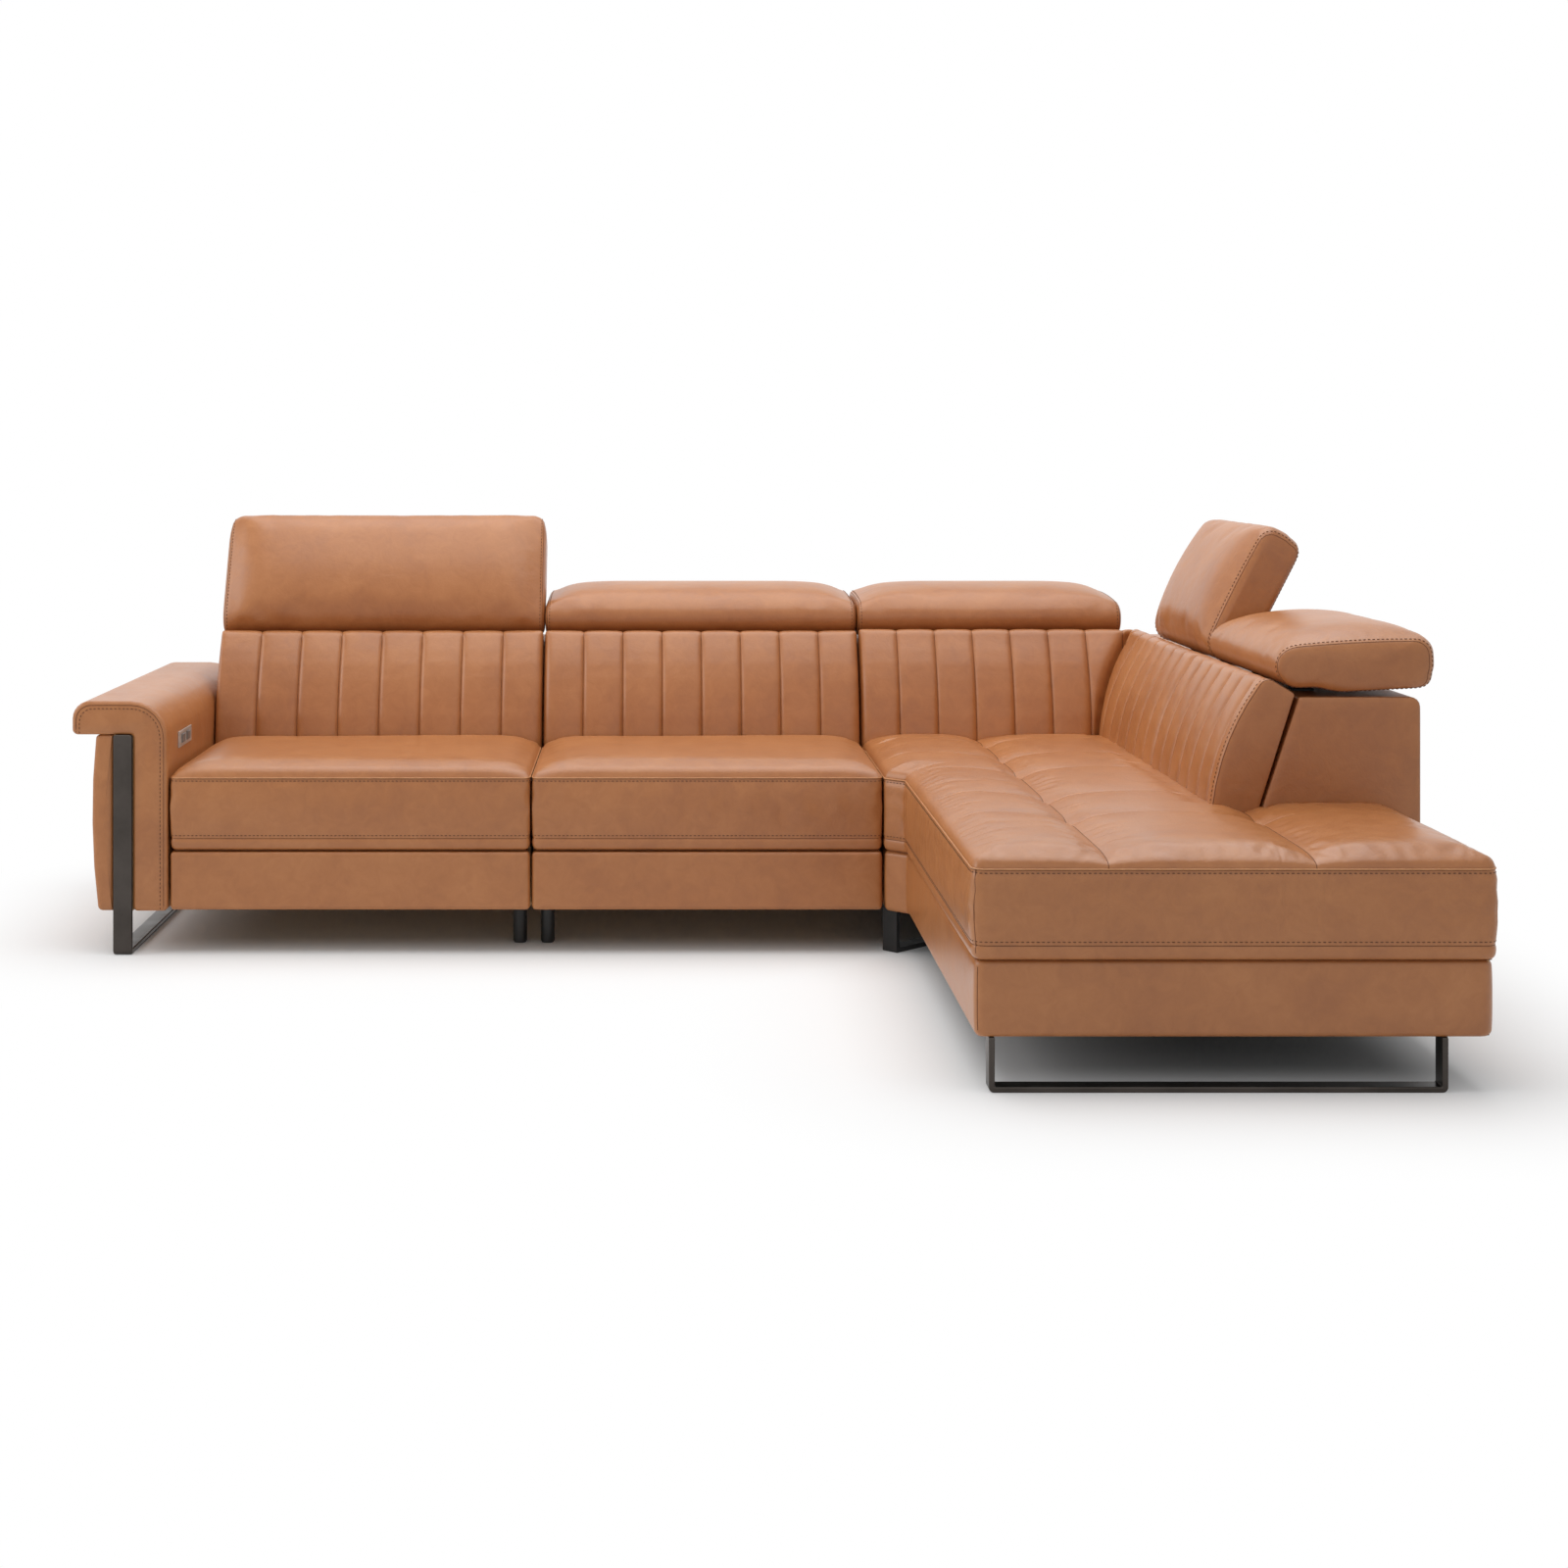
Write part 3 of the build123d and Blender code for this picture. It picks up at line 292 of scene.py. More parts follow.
def swell(obj, held, look):
    # cloth under pressure, held along its seams: the hide puffs and creases between them
    before = pointsOf(obj)
    group = obj.vertex_groups.new(name="held")
    for amount in np.unique(held):
        if amount > 0:
            group.add(np.where(held == amount)[0].tolist(), float(amount), "REPLACE")
    cloth = obj.modifiers.new("swell", "CLOTH")
    settings = cloth.settings
    settings.quality = clothLook["quality"]
    settings.mass = clothLook["mass"]
    settings.tension_stiffness = settings.compression_stiffness = look["stretch"]
    settings.shear_stiffness = look["stretch"] / 2
    settings.bending_stiffness = look["bend"]
    settings.air_damping = clothLook["airDamping"]
    settings.use_pressure = True
    settings.uniform_pressure_force = clothLook["pressure"]
    settings.vertex_group_mass = "held"
    settings.shrink_min = look["shrink"]
    settings.effector_weights.gravity = 0
    cloth.point_cache.frame_start = 1
    cloth.point_cache.frame_end = clothLook["frames"]
    for step in range(1, clothLook["frames"] + 1):
        scene.frame_set(step)
    graph = bpy.context.evaluated_depsgraph_get()
    move = pointsOf(obj.evaluated_get(graph)) - before
    ends = edgeEnds(obj.data)
    meets = np.bincount(ends.ravel(), minlength=len(move))[:, None]
    for _ in range(look.get("calm", 0)):  # evens out the swelling of a firm cushion
        total = np.zeros_like(move)
        np.add.at(total, ends[:, 0], move[ends[:, 1]])
        np.add.at(total, ends[:, 1], move[ends[:, 0]])
        move = 0.5 * move + 0.5 * total / meets
    reach = np.linalg.norm(move, axis=1)
    cap = look["cap"] * mm
    soft = cap * np.tanh(reach / cap)
    move *= (soft / np.maximum(reach, 1e-9))[:, None]
    obj.modifiers.clear()
    obj.vertex_groups.clear()
    movePoints(obj, before + move)
    scene.frame_set(1)
    print("swollen", obj.name, "by up to", round(float(soft.max() / mm), 1), "mm")


def pressFlat(obj, node, axis, spare=(0, 0)):
    # cushions that meet end to end press each other flat, so neither goes far past its own solid
    low, high = boxMm(node)
    points = pointsOf(obj)
    ends = (low[axis] - spare[0]) * mm, (high[axis] + spare[1]) * mm
    points[:, axis] = np.clip(points[:, axis], *ends)
    movePoints(obj, points)


def longSide(node):
    low, high = boxMm(node)
    return int(np.argmax(np.subtract(high, low)[:2]))


def bakeModifiers(obj):
    graph = bpy.context.evaluated_depsgraph_get()
    made = bpy.data.meshes.new_from_object(obj.evaluated_get(graph))
    obj.modifiers.clear()
    old = obj.data
    obj.data = made
    bpy.data.meshes.remove(old)


def subdivide(obj):
    smooth = obj.modifiers.new("rounding", "SUBSURF")
    smooth.levels = smooth.render_levels = 1
    bakeModifiers(obj)


def fromEnds(stations, start, end):
    return np.minimum(stations - start, end - stations)


def edgeRound(distance, radius):
    inside = np.clip(radius - distance, 0, radius)
    return radius - np.sqrt(np.maximum(radius ** 2 - inside ** 2, 0))


def softStep(low, high, value):
    t = np.clip((value - low) / (high - low), 0, 1)
    return t * t * (3 - 2 * t)


def dome(distance, reach, power=2.0):
    t = np.clip(distance / reach, 0, 1)
    return (1 - (1 - t) ** power) ** (1 / power)


def endPush(stations, start, end, radius, loop):
    # rounds the two ends of a plain sleeve
    return np.repeat(-edgeRound(fromEnds(stations, start, end), radius)[:, None], len(loop), 1)


def spread(low, high, marks, ladder, step):
    # grid lines: fine beside the marks and the ends, coarse between them
    finest = 2.5
    marks = [low, high, *marks]
    beside = [mark + side * gap for mark in marks for gap in ladder for side in (-1, 1)]
    found = sorted(x for x in beside if low <= x <= high)
    lines = [found[0]]
    fixed = {round(m, 3) for m in marks}
    for x in found[1:]:
        if x - lines[-1] < finest:
            if round(x, 3) in fixed:
                lines[-1] = x
            continue
        parts = max(1, math.ceil((x - lines[-1]) / step))
        start = lines[-1]
        lines += [start + (x - start) * k / parts for k in range(1, parts + 1)]
    return np.array(lines)


def roundedLoop(corners, radii, step):
    # closed outline with rounded corners, as evenly spaced points
    straight, arcDegrees, tooShort = 1.5, 15, 0.05  # a half angle past straight has no corner to round
    corners = [np.array(c, float) for c in corners]
    points = []
    count = len(corners)
    for i, corner in enumerate(corners):
        radius = radii[i]
        before = corners[i - 1] - corner
        after = corners[(i + 1) % count] - corner
        before, after = before / np.linalg.norm(before), after / np.linalg.norm(after)
        half = math.acos(np.clip(before @ after, -1, 1)) / 2
        if radius <= 0 or half > straight:
            points.append(corner)
            continue
        back = radius / math.tan(half)
        middle = corner + (before + after) / np.linalg.norm(before + after) * radius / math.sin(half)
        start, end = corner + before * back - middle, corner + after * back - middle
        turn = math.pi - 2 * half
        side = 1 if start[0] * end[1] - start[1] * end[0] > 0 else -1
        arcSteps = max(2, round(math.degrees(turn) / arcDegrees))
        for k in range(arcSteps + 1):
            a = side * turn * k / arcSteps
            spin = np.array([[math.cos(a), -math.sin(a)], [math.sin(a), math.cos(a)]])
            points.append(middle + spin @ start)
    loop = []
    for a, b in zip(points, points[1:] + points[:1]):
        if np.linalg.norm(b - a) < tooShort:
            continue
        parts = max(1, math.ceil(np.linalg.norm(b - a) / step))
        loop += [a + (b - a) * k / parts for k in range(parts)]
    return np.array(loop)


def rectangle(low, high, foot, top):
    return [(low, foot), (high, foot), (high, top), (low, top)]


def loopNormals(loop):
    ahead, behind = np.roll(loop, -1, 0), np.roll(loop, 1, 0)
    tangent = ahead - behind
    tangent /= np.linalg.norm(tangent, axis=1)[:, None]
    area = np.sum(loop[:, 0] * ahead[:, 1] - ahead[:, 0] * loop[:, 1])
    outward = np.stack([tangent[:, 1], -tangent[:, 0]], 1)
    return outward if area > 0 else -outward


def closedRun(ring):
    return np.vstack([ring, ring[:1]])


def sleeve(loop, stations, push, place, capCrown=0.0, capSteps=6, shrinkTo=None):
    # a cover sewn round an outline: push moves each point in or out, caps close the ends
    normals = loopNormals(loop)
    rows, count = len(stations), len(loop)
    flat = loop[None] + normals[None] * push[..., None]
    along = np.repeat(np.asarray(stations, float)[:, None], count, 1)
    rings = [(flat[i], along[i]) for i in range(rows)]
    for end, sign in ((0, -1), (rows - 1, 1)):
        middle = flat[end].mean(0) if shrinkTo is None else np.array(shrinkTo, float)
        capRings = []
        for k in range(1, capSteps):
            share = 1 - k / capSteps
            ring = middle + (flat[end] - middle) * share
            capRings.append((ring, along[end] + sign * capCrown * (1 - share ** 2)))
        tip = (middle[None], along[end][:1] + sign * capCrown)
        rings = capRings[::-1] + rings if sign < 0 else rings + capRings
        rings = [tip] + rings if sign < 0 else rings + [tip]
    points, starts = [], []
    for ring, where in rings:
        starts.append(len(points))
        x, y, z = place(where, ring[:, 0], ring[:, 1])
        points += list(zip(x, y, z))
    faces = []
    for r in range(len(rings) - 1):
        a, b = starts[r], starts[r + 1]
        sizeA, sizeB = len(rings[r][0]), len(rings[r + 1][0])
        for j in range(count):
            k = (j + 1) % count
            if sizeA == 1:
                faces.append((a, b + j, b + k))
            elif sizeB == 1:
                faces.append((a + k, a + j, b))
            else:
                faces.append((a + j, a + k, b + k, b + j))
    grid = np.array(points).reshape(-1, 3)
    first = starts[capSteps]
    body = grid[first:first + rows * count].reshape(rows, count, 3)
    index = np.arange(first, first + rows * count).reshape(rows, count)
    return points, faces, body, index


# Sewing: lines are collected while the covers are made, then laid on the finished surfaces
sewing = []


def sew(cover, body, points, kind):
    sewing.append({"cover": cover, "body": body, "points": np.array(points, float), "kind": kind})


def keepSoft(obj, body, node):
    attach(obj, body)
    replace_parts(obj, node)


# Back cushions: flat upright channels sewn at even steps on a bowed face
backLook = {
    "foot": 300,
    "top": 712,
    "footDepth": 438,
    "bow": 122,
    "bowRise": 416,
    "bowPower": 2.75,
    "topEdge": 26,
    "rearTop": (252, 665),
    "snug": (4, 9),  # a fixed back comes this much nearer to the headrest than a reclining one
    "rearFoot": (374, 300),
    "faceHeights": (380, 440, 490, 540, 580, 620, 655, 683),
    "topFront": 322,
    "footRound": 14,
    "rearRound": 6,
    "endRound": 24,
    "freeRound": 11,
    "outerProud": 3,
    "seamDeep": 7.0,
    "seamSoft": 5.2,
    "panelCrown": 2.6,
    "rowStep": 15,
    "ladder": (0, 2.6, 6, 11, 20),  # grid lines beside each seam
}
backCloth = {"stretch": 14, "bend": 1.5, "shrink": 0.0, "cap": 3, "calm": 10}


def backLoop(fixed):
    look = backLook
    inward, up = look["snug"] if fixed else (0, 0)
    top, rearTop = look["top"] + inward, (look["rearTop"][0] + inward, look["rearTop"][1] + up)
    bowed = [((z - look["foot"]) / look["bowRise"]) ** look["bowPower"] for z in look["faceHeights"]]
    face = [(look["footDepth"] - look["bow"] * b, z) for b, z in zip(bowed, look["faceHeights"])]
    corners = [look["rearFoot"], (look["footDepth"], look["foot"]), *face, (look["topFront"], top), rearTop]
    radii = [look["rearRound"], look["footRound"], *[0] * len(face), look["topEdge"], look["rearRound"]]
    return roundedLoop(corners, radii, look["rowStep"])


def fromCut(mitre, loop, stations):
    # the cut runs at 45 degrees, so its place along the cushion depends on the depth
    return (mitre["length"] - loop[:, 0][None] - stations[:, None]) * mitre["sign"] / math.sqrt(2)


def backPad(name, node, body, place, start, end, channels, plainBand=0, mitre=None, free=None):
    look = backLook
    loop = backLoop(body == "frame")
    normals = loopNormals(loop)
    pitch = (end - plainBand - start) / channels
    seams = [start + pitch * k for k in range(1, channels + (1 if plainBand else 0))]
    stations = spread(start, end, seams, look["ladder"], 22 if mitre is None else 12)
    shown = softStep(-0.25, 0.35, normals[:, 0] + 0.75 * normals[:, 1])
    shown = shown * (1 - 0.55 * softStep(675, 705, loop[:, 1]))
    gap = np.min([np.abs(stations - s) for s in seams], axis=0)
    valley = -look["seamDeep"] * np.exp(-(gap / look["seamSoft"]) ** 1.2)
    inPanel = np.clip(gap / (pitch / 2), 0, 1)
    puff = look["panelCrown"] * (1 - (1 - inPanel) ** 2)
    push = (valley + puff)[:, None] * shown[None] - 2.0
    toStart, toEnd = (stations - start)[:, None], (end - stations)[:, None]
    if mitre is not None:
        toCut = fromCut(mitre, loop, stations) - mitre["gap"]
        toStart, toEnd = (toStart, toCut) if mitre["sign"] > 0 else (toCut, toEnd)
    endGap = np.minimum(toStart, toEnd)
    onFace = 0.35 + 0.65 * softStep(0.2, 0.9, normals[:, 0])[None]  # ends are rounded most on the face
    for side, gapTo in (("start", toStart), ("end", toEnd)):
        push = push - edgeRound(gapTo, look["freeRound" if side == free else "endRound"] * onFace)
    points, faces, rows, index = sleeve(loop, stations, push, place, capCrown=1.5)
    obj = addMesh(name, points, faces)
    seamRows = [int(np.argmin(np.abs(stations - s))) for s in seams]
    creaseEdges(obj, index[seamRows][:, shown > 0.3], 0.9)
    held = np.ones(len(points))
    loose = softStep(4, 30, gap)[:, None] * softStep(0.55, 0.9, normals[:, 0])[None]
    loose = loose * softStep(10, 45, endGap)
    held[index] = np.round(1 - loose, 1)
    swell(obj, held, backCloth)
    subdivide(obj)
    if mitre is not None:
        cutMitre(obj, mitre)
    keepSoft(obj, body, node)
    front = np.where(shown > 0.3)[0]
    for r in seamRows:
        line = rows[r][front]
        if mitre is not None:
            line = line[[mitre["keeps"](p) for p in line]]
        if len(line) > 2:
            sew(obj, body, line, "channel")
    return obj, stations, rows[:, front]


def cutMitre(obj, mitre):
    shell = bmesh.new()
    shell.from_mesh(obj.data)
    every = shell.verts[:] + shell.edges[:] + shell.faces[:]
    bmesh.ops.bisect_plane(
        shell,
        geom=every,
        plane_co=Vector((xSide * mm, yBack * mm, 0)) + Vector(mitre["away"]) * mitre["gap"] * mm,
        plane_no=-Vector(mitre["away"]),
        clear_outer=True,
    )
    bmesh.ops.holes_fill(shell, edges=[e for e in shell.edges if e.is_boundary], sides=0)
    outwards(shell, obj.data)


diagonal = math.sqrt(0.5)
cornerMitre = {
    "length": xSide - xCorner + 2,
    "sign": 1,
    "gap": 1.0,
    "away": (-diagonal, diagonal, 0),
    "keeps": lambda p: (xSide - p[0]) - (yBack - p[1]) > 12,
}
sideMitre = {
    "length": 0,
    "sign": -1,
    "gap": 1.0,
    "away": (diagonal, -diagonal, 0),
    "keeps": lambda p: (yBack - p[1]) - (xSide - p[0]) > 12,
}
for unit, first, free in (("left", -backLook["outerProud"], "start"), ("middle", 0, None)):
    low, high = boxMm(unit + "_back_cushion")
    place, end = alongWall(low[0]), high[0] - low[0]
    backPad(unit + "BackPad", unit + "_back_cushion", unit + "_back", place, first, end, 8, free=free)
cutDepth = 250  # the cushions along the mitre are laid out from this depth
cornerRun = cornerMitre["length"]
node, place, end = "corner_back_cushion", alongWall(xCorner - 2), cornerRun - cutDepth
backPad("cornerBackPad", node, "frame", place, 2, end, 8, mitre=cornerMitre)
node = "side_rear_back_cushion"
backPad("sideRearBackPad", node, "frame", alongSide, cutDepth, yBack - boxMm(node)[0][1], 8, mitre=sideMitre)
node = "side_front_back_cushion"
end, start = yBack - np.array(boxMm(node))[:, 1]
sidePad, sideStations, sideFace = backPad(
    "sideFrontBackPad", node, "frame", alongSide, start, end, 6, plainBand=60, free="end"
)
for inset, kind in ((2, "seam"), (13, "stitch")):  # the free end is finished with a sewn edge
    row = int(np.argmin(np.abs(sideStations - (sideStations[-1] - inset))))
    sew(sidePad, "frame", sideFace[row], kind)
print("back cushions made")


# Headrests: a crowned pillow with a round nose on the pin and flat end panels
headLook = {
    "nose": 45.5,
    "reach": 288,
    "corner": 34,
    "pivotDepth": 250,
    "pivotHeight": 732,
    "crown": 28,
    "endDrop": 190,
    "endLow": 12,
    "endLowRun": 110,
    "endRound": 8,
    "farCorner": 38,
    "under": 13,  # the pad hangs this much below its board
    "raised": 63,
    "folded": 3,
    "endPuff": 4,
    "joint": 1.3,  # neighbours stop this far past their solids, almost touching
    "proud": {  # how far each end stands past its solid
        "left": (8, 1.3),
        "middle": (1.3, 1.3),
        "corner": (1.3, 0),
        "side_rear": (1.3, 0),
        "side_front": (0, 1.3),
    },
    "rowStep": 15,
    "ladder": (0, 2, 6, 12, 22, 36, 55, 80, 110),
    "capMiddle": (120, 0),
}
headCloth = {"stretch": 14, "bend": 1.0, "shrink": -0.01, "cap": 6}


def headLoop():
    look = headLook
    nose, reach, corner = look["nose"], look["reach"], look["corner"]
    corners = rectangle(-nose, reach, -nose, nose)
    return roundedLoop(corners, [nose - 0.01, corner, corner, nose - 0.01], look["rowStep"])


def headPad(name, unit, place, start, end, lean):
    look = headLook
    loop = headLoop()
    normals = loopNormals(loop)
    stations = spread(start, end, [], look["ladder"], 26)
    tilt = math.radians(look[lean])
    endGap = fromEnds(stations, start, end)
    share = np.clip((loop[:, 0] + look["nose"]) / (look["reach"] + look["nose"]), 0, 1)
    up = softStep(-0.1, 0.6, normals[:, 1]) * np.sin(math.pi * share) ** 0.8
    under = look["under"] * softStep(-0.5, -0.95, normals[:, 1]) * softStep(25, 90, loop[:, 0])
    crown = look["crown"] * dome(endGap, look["endDrop"]) ** 1.2
    push = crown[:, None] * up[None] + under[None] - edgeRound(endGap, look["endRound"])[:, None]

    def turned(along, a, b):
        gap = fromEnds(along, start, end)
        a = a - edgeRound(gap, look["farCorner"]) * softStep(120, look["reach"], a)
        low = look["endLow"] * (1 - dome(gap, look["endLowRun"]))
        b = np.where(b > 0, b * (1 - low / look["nose"]), b)  # the upper side sinks towards the ends
        depth = look["pivotDepth"] - (a * math.cos(tilt) - b * math.sin(tilt))
        height = look["pivotHeight"] + a * math.sin(tilt) + b * math.cos(tilt)
        return place(along, depth, height)

    points, faces, rows, index = sleeve(
        loop, stations, push, turned, look["endPuff"], shrinkTo=look["capMiddle"]
    )
    obj = addMesh(name, points, faces)
    creaseEdges(obj, index[[2, -3]], 0.6)
    held = np.ones(len(points))
    loose = softStep(14, 60, endGap)[:, None] * softStep(0.2, 0.8, normals[:, 1])[None]
    held[index] = np.round(1 - loose, 1)
    swell(obj, held, headCloth)
    node, body = unit + "_headrest_pad", unit + "_headrest"
    spare = [p if p == look["joint"] else p + look["endPuff"] for p in look["proud"][unit]]
    pressFlat(obj, node, longSide(node), spare)
    subdivide(obj)
    keepSoft(obj, body, node)
    for edge, inner in ((1, 2), (-2, -3)):
        sew(obj, body, closedRun(rows[edge]), "seam")
        sew(obj, body, closedRun(rows[inner]), "stitch")


for unit, lean in (("left", "raised"), ("middle", "folded"), ("corner", "folded")):
    low, high = boxMm(unit + "_headrest_pad")
    lowProud, highProud = headLook["proud"][unit]
    end = high[0] - low[0] + highProud
    headPad(unit + "HeadrestPad", unit, alongWall(low[0]), -lowProud, end, lean)
for name, unit, lean in (
    ("sideRearHeadrestPad", "side_rear", "raised"),
    ("sideFrontHeadrestPad", "side_front", "folded"),
):
    low, high = boxMm(unit + "_headrest_pad")
    lowProud, highProud = headLook["proud"][unit]
    headPad(name, unit, alongSide, yBack - high[1] - highProud, yBack - low[1] + lowProud, lean)
print("headrests made")


# Slab cushions: a crowned top sewn to a boxing strip, over a grid that follows the outline
def slab(xs, ys, cellKept, warp, top, wall, hold):
    gridX, gridY = np.meshgrid(xs, ys, indexing="ij")
    gridX, gridY = warp(gridX, gridY)
    gridZ = top(gridX, gridY)
    cells = [
        (i, j)
        for i in range(len(xs) - 1)
        for j in range(len(ys) - 1)
        if cellKept((xs[i] + xs[i + 1]) / 2, (ys[j] + ys[j + 1]) / 2)
    ]
    quads = [((i, j), (i + 1, j), (i + 1, j + 1), (i, j + 1)) for i, j in cells]
    sides = {(q[k], q[(k + 1) % 4]) for q in quads for k in range(4)}
    ahead = {a: b for a, b in sides if (b, a) not in sides}
    rim = [next(iter(sorted(ahead)))]
    while ahead[rim[-1]] != rim[0]:
        rim.append(ahead[rim[-1]])
    index, points = {}, []
    for q in quads:
        for corner in q:
            if corner not in index:
                index[corner] = len(points)
                points.append((gridX[corner], gridY[corner], gridZ[corner]))
    faces = [tuple(index[c] for c in q) for q in quads]
    edge = np.array([(gridX[c], gridY[c]) for c in rim])
    tangent = np.roll(edge, -1, 0) - np.roll(edge, 1, 0)
    tangent /= np.linalg.norm(tangent, axis=1)[:, None]
    outward = np.stack([tangent[:, 1], -tangent[:, 0]], 1)
    weight = np.array([hold(x, y) for x, y in edge])
    previous = [index[c] for c in rim]
    ringPoints = [np.array([points[p] for p in previous])]
    ringIndex = [previous]
    for out, z in wall:
        flat = edge + outward * (out * weight)[:, None]
        ring = np.column_stack([flat, np.full(len(rim), z)])
        start = len(points)
        points += [tuple(p) for p in ring]
        current = list(range(start, start + len(rim)))
        for k in range(len(rim)):
            n = (k + 1) % len(rim)
            faces.append((previous[k], current[k], current[n], previous[n]))
        previous = current
        ringPoints.append(ring)
        ringIndex.append(current)
    under = dict(zip(rim, previous))
    for corner in index:
        if corner not in under:
            under[corner] = len(points)
            points.append((gridX[corner], gridY[corner], wall[-1][1]))
    faces += [tuple(under[c] for c in reversed(q)) for q in quads]
    return points, faces, ringPoints, ringIndex, index, (gridX, gridY, gridZ)


def boxingWall(seam, lowSeam, foot, bulge):
    # strip from the folded edge down to the foot: a sewn line near the bottom and a rolled lower edge
    span = seam - lowSeam
    rings = [(-1.6, seam - 1.5), (-0.8, seam - 4), (0.2, seam - 9)]
    for share in (0.14, 0.28, 0.42, 0.56, 0.7, 0.84):
        rings.append((bulge * math.sin(math.pi * share), seam - span * share))
    rings += [(0.0, lowSeam + 4), (-1.8, lowSeam), (0.2, lowSeam - 4), (0.6, lowSeam - 10)]
    rings += [(-0.6, foot + 9), (-3.5, foot + 4), (-8, foot + 1), (-14, foot)]
    return rings


topRing, lowRing, bulgeRings = 0, 11, slice(4, 9)  # rings of the strip with its two seams and its belly
rimSewing = (  # ring, height above it, kind of line
    # the fold line is a painted highlight, the seam lines below it painted shade
    (topRing, 1.0, "fold"),
    (topRing, -1.8, "seam"),
    (topRing, -6.5, "stitch"),
    (lowRing, 7.0, "stitch"),
    (lowRing, -0.5, "seam"),
)


def orderedRun(ring, keep):
    # the kept points of a closed ring, as one run
    if keep.all():
        return closedRun(ring)
    first = next(i for i in range(len(keep)) if keep[i] and not keep[i - 1])
    order = [(first + k) % len(keep) for k in range(int(keep.sum()))]
    return ring[order]


def finishSlab(obj, body, node, cloth, held, rings, ringIndex, shown):
    creaseEdges(obj, ringIndex[topRing], 0.7)
    creaseEdges(obj, ringIndex[lowRing], 0.6)
    for ring in ringIndex[bulgeRings]:
        held[ring] = cloth["wallHeld"]
    swell(obj, held, cloth)
    pressFlat(obj, node, 0)
    subdivide(obj)
    keepSoft(obj, body, node)
    for ring, drop, kind in rimSewing:
        sew(obj, body, orderedRun(rings[ring], shown) + np.array([0, 0, drop]), kind)


seatLook = {
    "seam": 411,
    "lowSeam": 271,
    "crown": 444,
    "sideDome": 135,
    "frontDome": 76,
    "shoulder": 2.4,
    "rearDome": 90,
    "rearLow": 0.55,  # share of the crown that is left at the rear edge
    "wave": 1.5,
    "cornerRound": 16,
    "bulge": 3.5,
    "ladder": (0, 3, 8, 16, 27, 42, 60, 82, 108, 138),
}
seatCloth = {"stretch": 10, "bend": 0.5, "shrink": -0.015, "cap": 7, "wallHeld": 0.4}


def cornerRounder(low, high, radius):
    # square corners of a grid are drawn round
    def rounded(x, y):
        x, y = x.copy(), y.copy()
        for cx, sx in ((low[0], 1), (high[0], -1)):
            for cy, sy in ((low[1], 1), (high[1], -1)):
                dx, dy = (cx + sx * radius - x) * sx, (cy + sy * radius - y) * sy
                inside = (dx > 0) & (dy > 0)
                reach = np.hypot(dx, dy)
                ratio = np.where(inside, np.maximum(dx, dy) / np.maximum(reach, 1e-9), 1)
                x = np.where(inside, cx + sx * radius - sx * dx * ratio, x)
                y = np.where(inside, cy + sy * radius - sy * dy * ratio, y)
        return x, y
    return rounded


def cornerDistance(first, second, radius):
    # distance to two edges that meet in a rounded corner
    inCorner = (first < radius) & (second < radius)
    rounded = radius - np.hypot(radius - first, radius - second)
    return np.where(inCorner, np.maximum(rounded, 0), np.minimum(first, second))


def seatPad(unit):
    look = seatLook
    node = unit + "_seat_cushion"
    low, high = boxMm(node)
    xs = spread(low[0], high[0], [], look["ladder"], 30)
    ys = spread(low[1], high[1], [], look["ladder"], 30)

    def top(x, y):
        side = fromEnds(x, low[0], high[0])
        front, rear = y - low[1], high[1] - y
        rise = dome(side, look["sideDome"], look["shoulder"])
        rise = rise * dome(front, look["frontDome"], look["shoulder"])
        rise = rise * (look["rearLow"] + (1 - look["rearLow"]) * dome(rear, look["rearDome"]))
        edge = cornerDistance(side, np.minimum(front, rear), look["cornerRound"])
        rise = rise * softStep(-0.5, 6, edge)
        wave = look["wave"] * np.sin((x - low[0]) / 140) * np.sin((y - low[1]) / 120)
        return look["seam"] + (look["crown"] - look["seam"]) * rise + wave * rise

    rounded = cornerRounder(low, high, look["cornerRound"])
    wall = boxingWall(look["seam"], look["lowSeam"], low[2], look["bulge"])
    points, faces, rings, ringIndex, index, _ = slab(
        xs, ys, lambda x, y: True, rounded, top, wall, lambda x, y: 1.0
    )
    obj = addMesh(unit + "SeatPad", points, faces)
    held = np.ones(len(points))
    for (i, j), spot in index.items():
        edge = min(fromEnds(xs[i], low[0], high[0]), fromEnds(ys[j], low[1], high[1]))
        held[spot] = round(1 - float(softStep(2, 60, edge)), 1)
    shown = rings[0][:, 1] < high[1] - 5
    finishSlab(obj, unit + "_seat", node, seatCloth, held, rings, ringIndex, shown)


for unit in ("left", "middle"):
    seatPad(unit)
print("seat cushions made")


# Chaise cushion: one piece round the corner, tufted by two long seams and cross valleys
chaiseLook = {
    "seam": 410,
    "lowSeam": 271,
    "crown": 440,
    "sideDome": 125,
    "shoulder": 2.5,
    "longSeams": (700, 1080),
    "crossValleys": (513, 233, -28, -410, -691),
    "seamDeep": 9.0,
    "seamSoft": 15.0,
    "crossDeep": 9.0,
    "crossSoft": 20.0,
    "crossReach": 85.0,  # the cross folds die out this far from the long seams
    "tuftDeep": 7.0,
    "tuftSoft": 32.0,
    "puff": 7.0,
    "cornerRound": 26,
    "bulge": 4.0,
    "tuck": 12,
    "step": 46,  # the cushion steps in here where it leaves the middle seat
    "ladder": (0, 4, 10, 19, 32, 50, 74, 104),
    "fineLadder": (0, 4, 10, 20, 34),
    "gridStep": 17,
}
chaiseCloth = {"stretch": 8, "bend": 0.15, "shrink": -0.04, "cap": 8, "wallHeld": 0.8}
farAway = 1e3  # stands for an edge that isn't there


